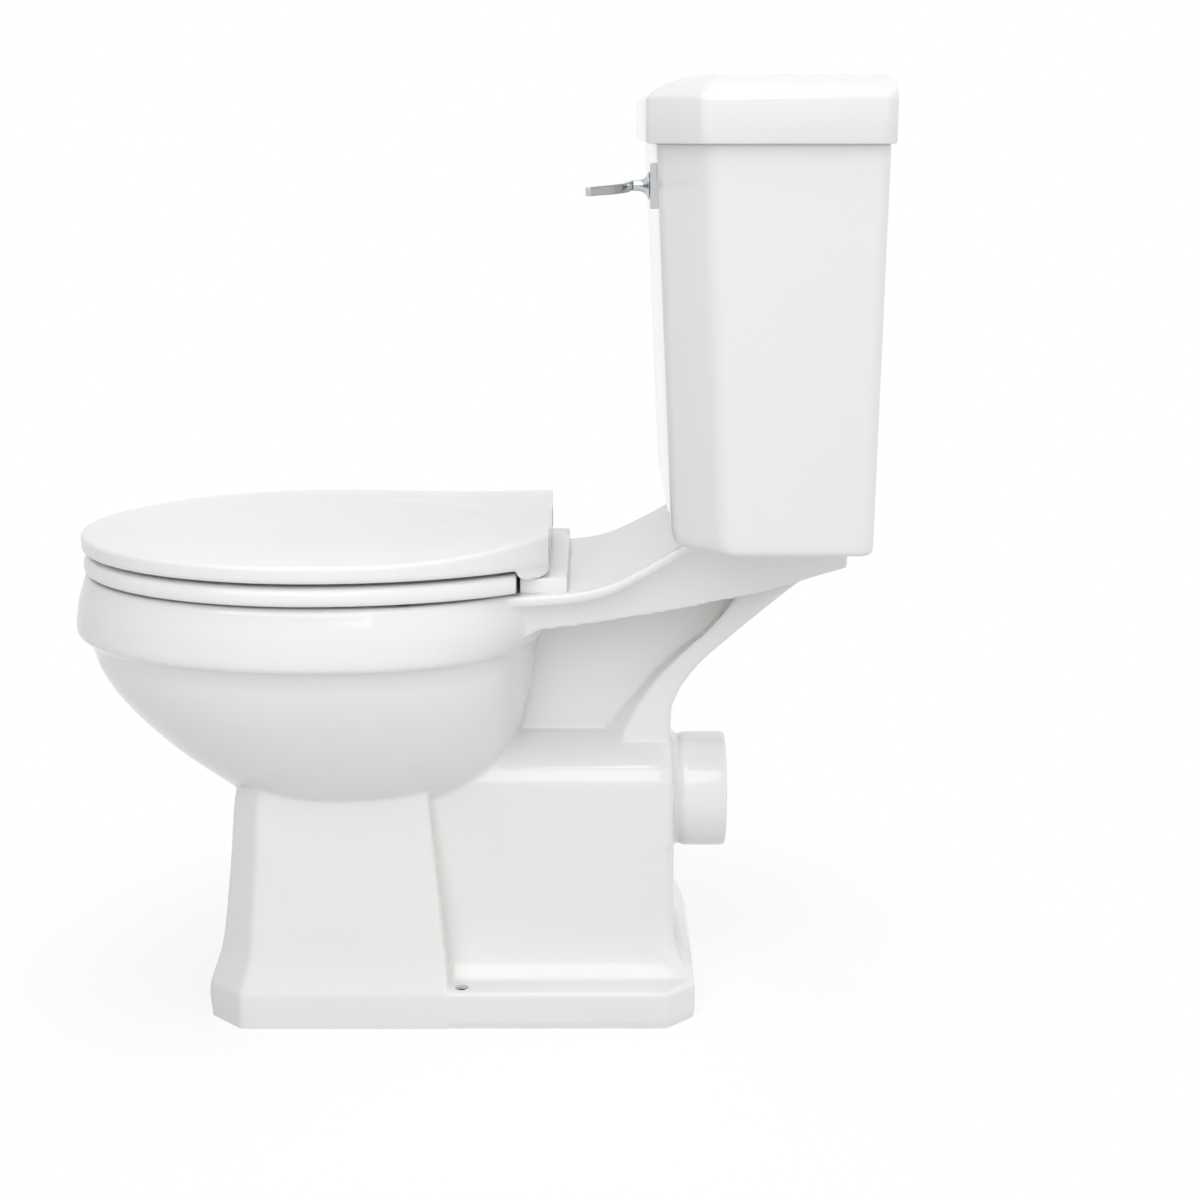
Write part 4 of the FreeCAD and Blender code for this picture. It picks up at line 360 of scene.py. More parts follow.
def slab(name, profile, x0, x1, edge=0.0):
    """A plate across X on a (Y, Z) profile, with the edges of its two sides rounded."""
    piece = loft(name, [[(x, y, z) for y, z in profile] for x in (x0, x1)])
    if edge:
        work = bmesh.new()
        work.from_mesh(piece.data)
        sides = [face for face in work.faces if len(face.verts) == len(profile)]
        rims = list({side_edge for face in sides for side_edge in face.edges})
        bmesh.ops.bevel(work, geom=rims, offset=edge * MM, segments=4, profile=0.5, affect="EDGES",
                        clamp_overlap=True)
        work.to_mesh(piece.data)
        work.free()
    return piece


def tube(name, path, radii, sides=48, bluntness=2.0):
    """Sections along a path, each square to it: round, or squarer; a radius may be (across, upright)."""
    rings = []
    for place, point in enumerate(path):
        before = Vector(path[max(place - 1, 0)])
        after = Vector(path[min(place + 1, len(path) - 1)])
        ahead = (after - before).normalized()
        upright = Vector((0, 0, 1))
        if abs(ahead.z) > 0.9:
            upright = Vector((0, 1, 0))
        across = ahead.cross(upright).normalized()
        upright = across.cross(ahead)
        wide, tall = radii[place] if isinstance(radii[place], tuple) else (radii[place], radii[place])
        ring = []
        for step in range(sides):
            turn = 2 * math.pi * step / sides
            right = math.copysign(abs(math.cos(turn)) ** (2 / bluntness), math.cos(turn))
            up = math.copysign(abs(math.sin(turn)) ** (2 / bluntness), math.sin(turn))
            ring.append(Vector(point) + across * wide * right + upright * tall * up)
        rings.append(ring)
    return loft(name, rings)


def peg(name, x, y, radius, z0, z1):
    """An upright round plug."""
    return tube(name, [(x, y, z0), (x, y, z1)], [radius, radius])


def bore(name, x, z, radius, y0, y1, sides=48):
    """A round plug from front to back."""
    return tube(name, [(x, y0, z), (x, y1, z)], [radius, radius], sides)


def hinge_rod(name, x0, x1, radius):
    """A round bar on the seat's hinge line."""
    return tube(name, [(x0, HINGE_Y, HINGE_Z), (x1, HINGE_Y, HINGE_Z)], [radius, radius])


def brick(name, half_width, y0, y1, z0, z1):
    """A plain block across the middle."""
    corners = [(-half_width, y0), (half_width, y0), (half_width, y1), (-half_width, y1)]
    return loft(name, [[(x, y, z) for x, y in corners] for z in (z0, z1)])


def egg(front, rear, half_width, z, widest=RIM_WIDEST_Y, bluntness=2.0, count=128):
    """An egg-shaped ring: an ellipse in front, and a back that can be blunter."""
    ring = []
    for step in range(count):
        turn = 2 * math.pi * step / count
        power = 2 / bluntness if math.sin(turn) > 0 else 1.0
        across = math.copysign(abs(math.cos(turn)) ** power, math.cos(turn))
        along = math.copysign(abs(math.sin(turn)) ** power, math.sin(turn))
        reach = rear - widest if along > 0 else widest - front
        ring.append((half_width * across, widest + reach * along, z))
    return ring


def cornered(half_width, front, back, cuts, z, radius, inset=0.0, back_inset=None, front_inset=None, steps=6):
    """A ring with cut corners: front and back cuts, each corner turned with a small arc."""
    back_inset = inset if back_inset is None else back_inset
    front_inset = inset if front_inset is None else front_inset
    shorter = inset * (2 - math.sqrt(2))
    x = half_width - inset
    y0 = front + front_inset
    y1 = back - back_inset
    cut = max(cuts[0] - shorter, LEAST_CUT)
    back_cut = max(cuts[1] - min(shorter, cuts[1] / 2), LEAST_CUT)
    right = [(x - cut, y0), (x, y0 + cut), (x, y1 - back_cut), (x - back_cut, y1)]
    corners = right + [(-px, py) for px, py in reversed(right)]
    ring = []
    for place, corner in enumerate(corners):
        here = Vector(corner)
        before = Vector(corners[place - 1]) - here
        after = Vector(corners[(place + 1) % len(corners)]) - here
        turn = math.pi - before.angle(after)
        reach = min(radius * math.tan(turn / 2), ARC_SHARE * before.length, ARC_SHARE * after.length)
        start = here + before.normalized() * reach
        end = here + after.normalized() * reach
        for step in range(steps + 1):
            share = step / steps
            point = start.lerp(here, share).lerp(here.lerp(end, share), share)
            ring.append((point.x, point.y, z))
    return ring


def along(rows, place):
    """A smooth row between the rows of a table, at a place in its first column."""
    level = 0
    while level < len(rows) - 2 and place > rows[level + 1][0]:
        level += 1
    low, high = rows[level], rows[level + 1]
    before = rows[max(level - 1, 0)]
    after = rows[min(level + 2, len(rows) - 1)]
    span = high[0] - low[0]
    share = (place - low[0]) / span
    found = [place]
    for a, b, c, d in list(zip(before, low, high, after))[1:]:
        start = (c - a) / (high[0] - before[0]) * span
        end = (d - b) / (after[0] - low[0]) * span
        found.append(b + share * start + share ** 2 * (3 * (c - b) - 2 * start - end)
                     + share ** 3 * (2 * (b - c) + start + end))
    return found


def between(start, end, steps):
    """Evenly spaced places from start to end."""
    return [start + (end - start) * step / steps for step in range(steps + 1)]


def stations(spans):
    """Places through several spans, each with its own number of steps."""
    places = [spans[0][0]]
    for start, end, steps in spans:
        places += between(start, end, steps)[1:]
    return places


def curve(points, steps):
    """A smooth line through points in a plane."""
    line = []
    for place in range(len(points) - 1):
        a = Vector(points[max(place - 1, 0)])
        b = Vector(points[place])
        c = Vector(points[place + 1])
        d = Vector(points[min(place + 2, len(points) - 1)])
        for step in range(steps):
            share = step / steps
            line.append(tuple(0.5 * (2 * b + (c - a) * share + (2 * a - 5 * b + 4 * c - d) * share ** 2
                                     + (3 * b - a - 3 * c + d) * share ** 3)))
    return line + [tuple(points[-1])]


def joined(pieces, name):
    """Several pieces as one object."""
    work = bmesh.new()
    for piece in pieces:
        work.from_mesh(piece.data)
    mesh = bpy.data.meshes.new(name)
    work.to_mesh(mesh)
    work.free()
    for piece in pieces:
        bpy.data.objects.remove(piece)
    whole = bpy.data.objects.new(name, mesh)
    bpy.context.scene.collection.objects.link(whole)
    return whole


def settled(piece):
    """Bakes a piece's modifiers into its mesh."""
    view = bpy.context.evaluated_depsgraph_get()
    view.update()
    mesh = bpy.data.meshes.new_from_object(piece.evaluated_get(view))
    piece.modifiers.clear()
    piece.data = mesh
    return piece


def cast(pieces, name, grain, softening):
    """Runs pieces together into one skin, with soft fillets where they meet."""
    whole = joined(pieces, name)
    remesh = whole.modifiers.new("one skin", "REMESH")
    remesh.mode = "VOXEL"
    remesh.voxel_size = grain
    smooth = whole.modifiers.new("soft edges", "SMOOTH")
    smooth.factor = 0.5
    smooth.iterations = softening
    return settled(whole)


def cut_away(piece, plugs, operation="DIFFERENCE"):
    """Cuts plugs out of a piece, keeps what they share with it, or joins them to it."""
    for plug in plugs:
        cut = piece.modifiers.new("cut", "BOOLEAN")
        cut.operation = operation
        cut.solver = "MANIFOLD"
        cut.object = plug
        settled(piece)
        bpy.data.objects.remove(plug)
        if not piece.data.polygons:
            raise RuntimeError("nothing is left of " + piece.name)
    return piece


def shaded(piece, degrees=38.0):
    """Smooth shading, apart from edges sharper than the angle."""
    piece.data.shade_smooth()
    piece.data.set_sharp_from_angle(angle=math.radians(degrees))
    return piece


def finished(piece, body, material, nodes):
    """Gives a new piece its finish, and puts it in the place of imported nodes."""
    piece.data.materials.clear()
    piece.data.materials.append(material)
    shaded(piece)
    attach(piece, body)
    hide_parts(*nodes)
    return piece


def add_node(tree, kind, settings, links):
    """Adds a node, sets its sockets (by name or number) and options, and links earlier nodes to it."""
    node = tree.nodes.new(kind)
    for name, value in settings.items():
        if isinstance(name, int) or name in node.inputs:
            node.inputs[name].default_value = value
        else:
            setattr(node, name, value)
    for name, (source, output) in links.items():
        tree.links.new(source.outputs[output], node.inputs[name])
    return node


def new_material(name):
    """An empty material, its node tree, and the node that gives places on the object."""
    material = bpy.data.materials.new(name)
    material.use_nodes = True
    tree = material.node_tree
    tree.nodes.clear()
    place = add_node(tree, "ShaderNodeTexCoord", {}, {})
    return material, tree, place


def surface(tree, settings, links):
    """Ends a material with its surface shader."""
    shader = add_node(tree, "ShaderNodeBsdfPrincipled", settings, links)
    add_node(tree, "ShaderNodeOutputMaterial", {}, {"Surface": (shader, "BSDF")})


def waves_per_metre(size_mm):
    """A texture's scale for a pattern of that size in millimetres."""
    return 1000 / size_mm


def clouded(tree, place, size_mm, detail, colours):
    """Two colours that drift into each other over a size in millimetres, and the pattern they follow."""
    cloud = add_node(tree, "ShaderNodeTexNoise", {"Scale": waves_per_metre(size_mm), "Detail": detail},
                     {"Vector": (place, "Object")})
    first, second = [list(colour) + [1.0] for colour in colours]
    tint = add_node(tree, "ShaderNodeMix", {"data_type": "RGBA", FIRST_COLOUR: first, SECOND_COLOUR: second},
                    {"Factor": (cloud, "Fac")})
    return tint, cloud


def glazed_china(finish):
    """Vitreous china under a clear fired glaze: pure white, wet-looking, with a slow ripple."""
    material, tree, place = new_material("glazed vitreous china")
    tint = clouded(tree, place, 160, 2.0, (finish.china, finish.china_cloud))[0]
    # The glaze runs while it is fired, so its gloss and its level change over a few centimetres
    pool = add_node(tree, "ShaderNodeTexNoise", {"Scale": waves_per_metre(45), "Detail": 1.0},
                    {"Vector": (place, "Object")})
    gloss = add_node(tree, "ShaderNodeMapRange", {"To Min": finish.china_roughness * 0.7,
                                                  "To Max": finish.china_roughness * 1.4},
                     {"Value": (pool, "Fac")})
    ripple = add_node(tree, "ShaderNodeBump", {"Strength": 0.12, "Distance": 0.4 * MM},
                      {"Height": (pool, "Fac")})
    surface(tree, {"IOR": 1.6}, {"Base Color": (tint, MIXED_COLOUR), "Roughness": (gloss, "Result"),
                                 "Normal": (ripple, "Normal")})
    return material


def moulded_resin(finish):
    """White thermoset resin from a polished mould: a little softer in its gloss than the china, and even."""
    material, tree, place = new_material("moulded thermoset resin")
    tint = clouded(tree, place, 90, 2.0, (finish.resin, finish.resin_cloud))[0]
    # Real flow marks are finer than a millimetre; drawn at 6 mm so that they show as a slight change of gloss
    flow = add_node(tree, "ShaderNodeTexNoise", {"Scale": waves_per_metre(6), "Detail": 3.0},
                    {"Vector": (place, "Object")})
    gloss = add_node(tree, "ShaderNodeMapRange", {"To Min": finish.resin_roughness * 0.8,
                                                  "To Max": finish.resin_roughness * 1.25},
                     {"Value": (flow, "Fac")})
    skin = add_node(tree, "ShaderNodeBump", {"Strength": 0.04, "Distance": 0.1 * MM},
                    {"Height": (flow, "Fac")})
    surface(tree, {"IOR": 1.54}, {"Base Color": (tint, MIXED_COLOUR), "Roughness": (gloss, "Result"),
                                  "Normal": (skin, "Normal")})
    return material


def chrome_plate(finish):
    """Polished chrome plate: a cool mirror, with the faint film that hands leave."""
    material, tree, place = new_material("polished chrome plate")
    film = add_node(tree, "ShaderNodeTexNoise", {"Scale": waves_per_metre(14), "Detail": 3.0},
                    {"Vector": (place, "Object")})
    gloss = add_node(tree, "ShaderNodeMapRange", {"To Min": 0.03, "To Max": 0.12}, {"Value": (film, "Fac")})
    surface(tree, {"Base Color": list(finish.chrome) + [1.0], "Metallic": 1.0},
            {"Roughness": (gloss, "Result")})
    return material


def turned_brass(finish):
    """Brass as it leaves the lathe: warm yellow with fine rings, dulled in patches."""
    material, tree, place = new_material("turned brass")
    tint, patch = clouded(tree, place, 12, 4.0, (finish.brass, finish.brass_dull))
    gloss = add_node(tree, "ShaderNodeMapRange", {"To Min": 0.22, "To Max": 0.42}, {"Value": (patch, "Fac")})
    # Lathe rings are about 0.2 mm apart; drawn a little over 6 mm apart so that they show
    rings = add_node(tree, "ShaderNodeTexWave", {"Scale": WAVE_SPACING / 6.2832, "bands_direction": "Z"},
                     {"Vector": (place, "Object")})
    lathe = add_node(tree, "ShaderNodeBump", {"Strength": 0.15, "Distance": 0.1 * MM},
                     {"Height": (rings, "Fac")})
    surface(tree, {"Metallic": 1.0}, {"Base Color": (tint, MIXED_COLOUR), "Roughness": (gloss, "Result"),
                                      "Normal": (lathe, "Normal")})
    return material


def drawn_steel(finish):
    """Stainless steel as drawn and cut: grey, satin, with fine lines along the bar."""
    material, tree, place = new_material("drawn stainless steel")
    # Real lines are finer than 0.1 mm; drawn 20 mm long and a fourteenth of that apart so that they show
    lines = add_node(tree, "ShaderNodeMapping", {"Scale": (1.0, 14.0, 14.0)}, {"Vector": (place, "Object")})
    grain = add_node(tree, "ShaderNodeTexNoise", {"Scale": waves_per_metre(20), "Detail": 3.0},
                     {"Vector": (lines, "Vector")})
    gloss = add_node(tree, "ShaderNodeMapRange", {"To Min": 0.2, "To Max": 0.36}, {"Value": (grain, "Fac")})
    surface(tree, {"Base Color": list(finish.steel) + [1.0], "Metallic": 1.0},
            {"Roughness": (gloss, "Result")})
    return material


def black_rubber(finish):
    """Moulded black rubber: nearly matt, with a grey bloom on its skin."""
    material, tree, place = new_material("moulded black rubber")
    tint, bloom = clouded(tree, place, 5, 4.0, (finish.rubber, finish.rubber_bloom))
    skin = add_node(tree, "ShaderNodeBump", {"Strength": 0.2, "Distance": 0.1 * MM},
                    {"Height": (bloom, "Fac")})
    surface(tree, {"Roughness": 0.68, "IOR": 1.5},
            {"Base Color": (tint, MIXED_COLOUR), "Normal": (skin, "Normal")})
    return material


def moulded_plastic(finish):
    """Injection-moulded polypropylene: milky white, waxy, with a fine spark-eroded grain."""
    material, tree, place = new_material("moulded polypropylene")
    tint = clouded(tree, place, 40, 2.0, (finish.plastic, finish.plastic_cloud))[0]
    # The mould's grain is about 0.3 mm; drawn at 1.5 mm so that it shows
    grain = add_node(tree, "ShaderNodeTexNoise", {"Scale": waves_per_metre(1.5), "Detail": 2.0},
                     {"Vector": (place, "Object")})
    skin = add_node(tree, "ShaderNodeBump", {"Strength": 0.12, "Distance": 0.1 * MM},
                    {"Height": (grain, "Fac")})
    surface(tree, {"Roughness": 0.42, "IOR": 1.49},
            {"Base Color": (tint, MIXED_COLOUR), "Normal": (skin, "Normal")})
    return material


FINISHES = {"china": glazed_china, "seat_resin": moulded_resin, "chrome": chrome_plate, "brass": turned_brass,
            "steel": drawn_steel, "rubber": black_rubber, "fitting_plastic": moulded_plastic}
MADE = {}


def finish_for(slot):
    """The material of a slot, made once."""
    if slot not in MADE:
        MADE[slot] = FINISHES[slot](bpy.context.scene.toilet_finish)
    return MADE[slot]


def hue(name, description, code):
    """A colour that the user can change."""
    return bpy.props.FloatVectorProperty(name=name, description=description, subtype="COLOR", size=3,
                                         min=0.0, max=1.0, default=linear(code)[:3])


def blur(name, description, roughness):
    """A roughness that the user can change."""
    return bpy.props.FloatProperty(name=name, description=description, subtype="FACTOR",
                                   min=0.0, max=1.0, default=roughness)


def length(name, description, size, low, high):
    """A length that the user can change, given in millimetres."""
    return bpy.props.FloatProperty(name=name, description=description, unit="LENGTH", precision=4,
                                   min=low * MM, max=high * MM, default=size * MM)


def rounds(name, description, count):
    """A number of rounds that the user can change."""
    return bpy.props.IntProperty(name=name, description=description, min=0, max=40, default=count)


def power(name, description, watts):
    """A lamp's power that the user can change."""
    return bpy.props.FloatProperty(name=name, description=description, unit="POWER",
                                   min=0.0, max=500.0, default=watts)


def strength(name, description, value, low=-1.0):
    """A strength of the soft light that the user can change."""
    return bpy.props.FloatProperty(name=name, description=description, min=low, max=2.0, default=value)


class ToiletFinish(bpy.types.PropertyGroup):
    """Colours and gloss of the materials."""

    china: hue("China", "White of the glazed pan and cistern", "E9E9E8")
    china_cloud: hue("China clouding", "Second white that the glaze drifts to", "E6E6E4")
    china_roughness: blur("Glaze roughness", "Blur of the glaze's reflections", 0.05)
    resin: hue("Seat", "White of the seat and its lid", "EDEDEC")
    resin_cloud: hue("Seat clouding", "Second white of the seat", "EAEAE9")
    resin_roughness: blur("Seat roughness", "Blur of the seat's reflections", 0.16)
    chrome: hue("Chrome", "Tint of the plated lever", "C4C7C9")
    brass: hue("Brass", "Bright brass of the valve and bolts", "CFA764")
    brass_dull: hue("Dull brass", "Dulled patches on the brass", "A98243")
    steel: hue("Steel", "Grey of the steel pins and bolts", "B9BBBD")
    rubber: hue("Rubber", "Black of the seals and pads", "1B1B1C")
    rubber_bloom: hue("Rubber bloom", "Grey film on the rubber", "2C2C2D")
    plastic: hue("Plastic", "White of the fittings inside the cistern", "E6E7E4")
    plastic_cloud: hue("Plastic clouding", "Second white of the fittings", "DCDDD9")


class ToiletForm(bpy.types.PropertyGroup):
    """How finely the pieces are made, and how round their edges are."""

    grain: length("Casting grain", "Size of the cells that the pan is cast from", 1.8, 1.2, 8)
    softening: rounds("Casting softness", "Rounds of smoothing on the pan's edges", 5)
    seat_grain: length("Seat grain", "Size of the cells that the seat is cast from", 1.5, 1.0, 8)
    seat_softening: rounds("Seat softness", "Rounds of smoothing on the seat's edges", 3)
    tank_corner: length("Tank corner", "Radius of the tank's upright corners", 20, 1, 30)
    cover_corner: length("Cover corner", "Radius of the cover's upright corners", 10, 1, 30)
    small_edge: length("Small edge", "Bevel on the small fittings", 0.6, 0, 3)
    lever_grain: length("Lever grain", "Size of the cells of the lever's casting", 0.7, 0.4, 3)
    lever_softening: rounds("Lever softness", "Rounds of smoothing on the lever", 3)
    hinge_edge: length("Hinge edge", "Rounding of the seat's hinge plate", 0.8, 0, 5)


class ToiletStage(bpy.types.PropertyGroup):
    """Light, floor and camera."""

    even: strength("Even light", "Soft light from all round", 0.6, 0.0)
    front: strength("Front light", "Soft light added at the bowl's end; below nought takes some away", -0.57)
    wall: strength("Wall light", "Soft light added at the tank's end; below nought takes some away", 0.74)
    top_watts: power("Top lamp", "Power of the lamp overhead", 7.0)
    key_watts: power("Key lamp", "Power of the lamp over the camera", 29.0)
    low_watts: power("Low lamp", "Power of the lamp beside the camera", 12.0)
    floor: hue("Floor", "Pale floor under the toilet", "D2D2D2")
    floor_radius: length("Floor radius", "Radius of the floor", 6000, 1000, 50000)
    lens: bpy.props.FloatProperty(name="Lens", description="Focal length on a 36 mm sensor, in millimetres",
                                  default=62.7, min=10.0, max=300.0)


class TOILET_OT_stage(bpy.types.Operator):
    """Makes the white floor, the soft lights and the camera"""

    bl_idname = "toilet.make_stage"
    bl_label = "Stage"

    def execute(self, context):
        stage = context.scene.toilet_stage
        self.light_world(context, stage)
        self.lay_floor(stage)
        self.hang_lamp(context, "top lamp", TOP_LAMP, stage.top_watts)
        self.hang_lamp(context, "key lamp", KEY_LAMP, stage.key_watts)
        low = self.hang_lamp(context, "low lamp", LOW_LAMP, stage.low_watts)
        # It would show in the glaze as a bright square
        low.visible_glossy = False
        self.set_camera(context, stage)
        context.scene.view_settings.view_transform = "Standard"
        return {"FINISHED"}

    def white_rays(self, tree):
        """The light path, and one for what is seen straight, mirrored or through glass, else nought."""
        rays = add_node(tree, "ShaderNodeLightPath", {}, {})
        seen = add_node(tree, "ShaderNodeMath", {"operation": "MAXIMUM"},
                        {0: (rays, "Is Camera Ray"), 1: (rays, "Is Glossy Ray")})
        white = add_node(tree, "ShaderNodeMath", {"operation": "MAXIMUM"},
                         {0: (seen, "Value"), 1: (rays, "Is Transmission Ray")})
        return rays, white

    def light_world(self, context, stage):
        """Soft light for matt surfaces, and a white surround for what is seen or mirrored."""
        world = bpy.data.worlds.new("white studio")
        world.use_nodes = True
        context.scene.world = world
        tree = world.node_tree
        tree.nodes.clear()
        white = self.white_rays(tree)[1]
        place = add_node(tree, "ShaderNodeTexCoord", {}, {})
        axes = add_node(tree, "ShaderNodeSeparateXYZ", {}, {"Vector": (place, "Generated")})
        ends = []
        for reach, added in ((-1.0, stage.front), (1.0, stage.wall)):
            ends.append(add_node(tree, "ShaderNodeMapRange", {"From Max": reach, "To Min": stage.even / 2,
                                                              "To Max": stage.even / 2 + added},
                                 {"Value": (axes, "Y")}))
        total = add_node(tree, "ShaderNodeMath", {"operation": "ADD"},
                         {0: (ends[0], "Result"), 1: (ends[1], "Result")})
        light = add_node(tree, "ShaderNodeMapRange", {"To Max": 1.0},
                         {"Value": (white, "Value"), "To Min": (total, "Value")})
        sky = add_node(tree, "ShaderNodeBackground", {"Color": (1.0, 1.0, 1.0, 1.0)},
                       {"Strength": (light, "Result")})
        add_node(tree, "ShaderNodeOutputWorld", {}, {"Surface": (sky, "Background")})

    def lay_floor(self, stage):
        """A wide disc that keeps the toilet's shadow and fades to white away from it."""
        radius = stage.floor_radius / MM
        turns = between(0.0, 2 * math.pi, FLOOR_SIDES)[:-1]
        ring = [(radius * math.cos(turn), radius * math.sin(turn), 0.0) for turn in turns]
        floor = mesh_piece("floor", ring, [tuple(range(FLOOR_SIDES))])
        material, tree, place = new_material("white studio floor")
        rays, white = self.white_rays(tree)
        shade = add_node(tree, "ShaderNodeMix", {"data_type": "RGBA", FIRST_COLOUR: list(stage.floor) + [1.0],
                                                 SECOND_COLOUR: (1.0, 1.0, 1.0, 1.0)},
                         {"Factor": (rays, "Is Camera Ray")})
        matt = add_node(tree, "ShaderNodeBsdfDiffuse", {}, {"Color": (shade, MIXED_COLOUR)})
        glow = add_node(tree, "ShaderNodeEmission", {"Strength": 1.0}, {})
        away = add_node(tree, "ShaderNodeVectorMath", {"operation": "LENGTH"}, {0: (place, "Object")})
        # The middle is hidden under the plinth, and stays dark behind the screw holes
        under = add_node(tree, "ShaderNodeMapRange", {"From Min": FLOOR_DARK[0], "From Max": FLOOR_DARK[1],
                                                      "To Max": FLOOR_NEAR_WHITE},
                         {"Value": (away, "Value")})
        fade = add_node(tree, "ShaderNodeMapRange", {"interpolation_type": "SMOOTHSTEP", "To Max": 1.0,
                                                     "From Min": FLOOR_FADE[0], "From Max": FLOOR_FADE[1]},
                        {"Value": (away, "Value"), "To Min": (under, "Result")})
        share = add_node(tree, "ShaderNodeMath", {"operation": "MULTIPLY"},
                         {0: (fade, "Result"), 1: (white, "Value")})
        mix = add_node(tree, "ShaderNodeMixShader", {},
                       {"Fac": (share, "Value"), 1: (matt, "BSDF"), 2: (glow, "Emission")})
        add_node(tree, "ShaderNodeOutputMaterial", {}, {"Surface": (mix, "Shader")})
        floor.data.materials.append(material)

    def hang_lamp(self, context, name, place_and_size, watts):
        """A soft rectangular lamp that looks at the toilet."""
        place, size = place_and_size
        lamp = bpy.data.lights.new(name, "AREA")
        lamp.shape = "RECTANGLE"
        lamp.size, lamp.size_y = size
        lamp.energy = watts
        holder = bpy.data.objects.new(name, lamp)
        holder.location = place
        holder.rotation_euler = (Vector(LAMP_AIM) - Vector(place)).to_track_quat("-Z", "Y").to_euler()
        context.scene.collection.objects.link(holder)
        return holder

    def set_camera(self, context, stage):
        """The view from the toilet's side, from a little below the top of the cistern."""
        lens = bpy.data.cameras.new("camera")
        lens.sensor_width = SENSOR_WIDTH
        lens.lens = stage.lens
        lens.shift_x = CAMERA_SHIFT
        camera = bpy.data.objects.new("camera", lens)
        camera.location = CAMERA_PLACE
        pitch = math.radians(CAMERA_PITCH)
        ahead = Vector((-math.cos(pitch), 0.0, -math.sin(pitch)))
        camera.rotation_euler = ahead.to_track_quat("-Z", "Y").to_euler()
        context.scene.collection.objects.link(camera)
        context.scene.camera = camera


class TOILET_OT_pan(bpy.types.Operator):
    """Casts the pan: bowl, rim, deck, web, trap block, pedestal, plinth and spigot in one skin"""

    bl_idname = "toilet.make_pan"
    bl_label = "Pan"

    def execute(self, context):
        form = context.scene.toilet_form
        web = slab("web", curve(WEB_TOP, steps=4) + list(WEB_FOOT), -WEB_HALF_WIDTH, WEB_HALF_WIDTH)
        buttress = slab("buttress", BUTTRESS_PROFILE, -BUTTRESS_HALF_WIDTH, BUTTRESS_HALF_WIDTH,
                        BUTTRESS_EDGE)
        horn = peg("horn", INLET[0], INLET[1], HORN_RADIUS, *HORN_Z)
        pieces = [self.bowl(), self.deck(), self.pedestal(), self.block(), self.block_top(), self.plinth(),
                  self.spigot(), self.rib(), web, buttress, horn]
        pan = cast(pieces, "pan_china", form.grain, form.softening)
        cut_away(pan, self.hollows())
        finished(pan, "base", finish_for("china"),
                 ("pan_bowl", "pan_trapway", "pan_foot", "pan_shelf", "outlet_spigot"))
        return {"FINISHED"}

    def bowl(self):
        """The flared band and the bowl as a full body."""
        rings = []
        for depth in reversed(stations(BOWL_SPANS)):
            depth, front_in, side_in, rear_in = along(BOWL_ROWS, depth)
            rings.append(egg(BOWL_LOW.y + front_in, BOWL_HIGH.y - rear_in, BOWL_HIGH.x - side_in,
                             BOWL_HIGH.z - depth, bluntness=RIM_BLUNTNESS))
        return loft("bowl", rings)

    def deck(self):
        """The deck and the shelf: a plate with a thin upright lip and hollow aprons on both sides."""
        rings = []
        for place in between(DECK_ROWS[0][0], DECK_ROWS[-1][0], 60):
            y, half_width, top, apron_z, apron, plate = along(DECK_ROWS, place)
            lip_z = top - DECK_LIP
            lip = Vector((half_width, lip_z))
            edge = Vector((apron, apron_z))
            bend = Vector((apron + APRON_BEND[0] * (half_width - apron),
                           lip_z - APRON_BEND[1] * (lip_z - apron_z)))
            right = [(half_width - DECK_EDGE, top), (half_width, top - DECK_EDGE)]
            for share in between(0.0, 1.0, 8):
                right.append(tuple(lip.lerp(bend, share).lerp(bend.lerp(edge, share), share)))
            right.append((apron - APRON_WALL, apron_z + APRON_DRAFT))
            right.append((apron - APRON_WALL + APRON_DRAFT, top - plate))
            rings.append([(x, y, z) for x, z in right] + [(-x, y, z) for x, z in reversed(right)])
        return loft("deck", rings)

    def rib(self):
        """The curved rib that carries the shelf, with sloping sides from the web to its crest."""
        back = curve(RIB_BACK, steps=4)
        foot = curve(RIB_FOOT, steps=4)
        crest = curve(RIB_CREST, steps=4)
        rows = [(-x, share, inset) for x, share, inset in reversed(RIB_ROWS)] + list(RIB_ROWS)
        rings = []
        for x, share, inset in rows:
            ring = [(x, y - inset, z) for y, z in back]
            for low, high in zip(foot, crest):
                point = Vector(low).lerp(Vector(high), share)
                ring.append((x, point.x, point.y))
            rings.append(ring)
        return loft("rib", rings)

    def pedestal(self):
        """The front pedestal that flares to the plinth."""
        rings = []
        for height in stations(PEDESTAL_SPANS):
            z, half_width, front, back, cut = along(PEDESTAL_ROWS, height)
            rings.append(cornered(half_width, front, back, (cut, PEDESTAL_BACK_CUT), z, PEDESTAL_CORNER))
        return loft("pedestal", rings)

    def block(self):
        """The trap block's upright sides and its spreading foot."""
        rings = []
        for height in stations(BLOCK_SPANS):
            z, half_width, back = along(BLOCK_ROWS, height)
            rings.append(cornered(half_width, BLOCK_FRONT_Y, back, BLOCK_CUTS, z, BLOCK_CORNER))
        return loft("block", rings)

    def block_top(self):
        """The arched top of the trap block."""
        right = curve(BLOCK_ARCH, steps=5)
        arch = right + [(-x, z) for x, z in reversed(right[:-1])]
        rings = []
        for y, inset in BLOCK_TOP_ROWS:
            narrower = 1 - inset / BLOCK_ARCH[0][0]
            rings.append([(x * narrower, y, z - inset * (z > BLOCK_SHOULDER_Z)) for x, z in arch])
        return loft("block top", rings)

    def plinth(self):
        """The foot that stands on the floor."""
        rings = []
        for z, inset in PLINTH_ROWS:
            rings.append(cornered(FOOT_HIGH.x, FOOT_LOW.y, FOOT_HIGH.y, PLINTH_CUTS, z, PLINTH_CORNER,
                                  max(inset, 0.0), front_inset=inset))
        return loft("plinth", rings)

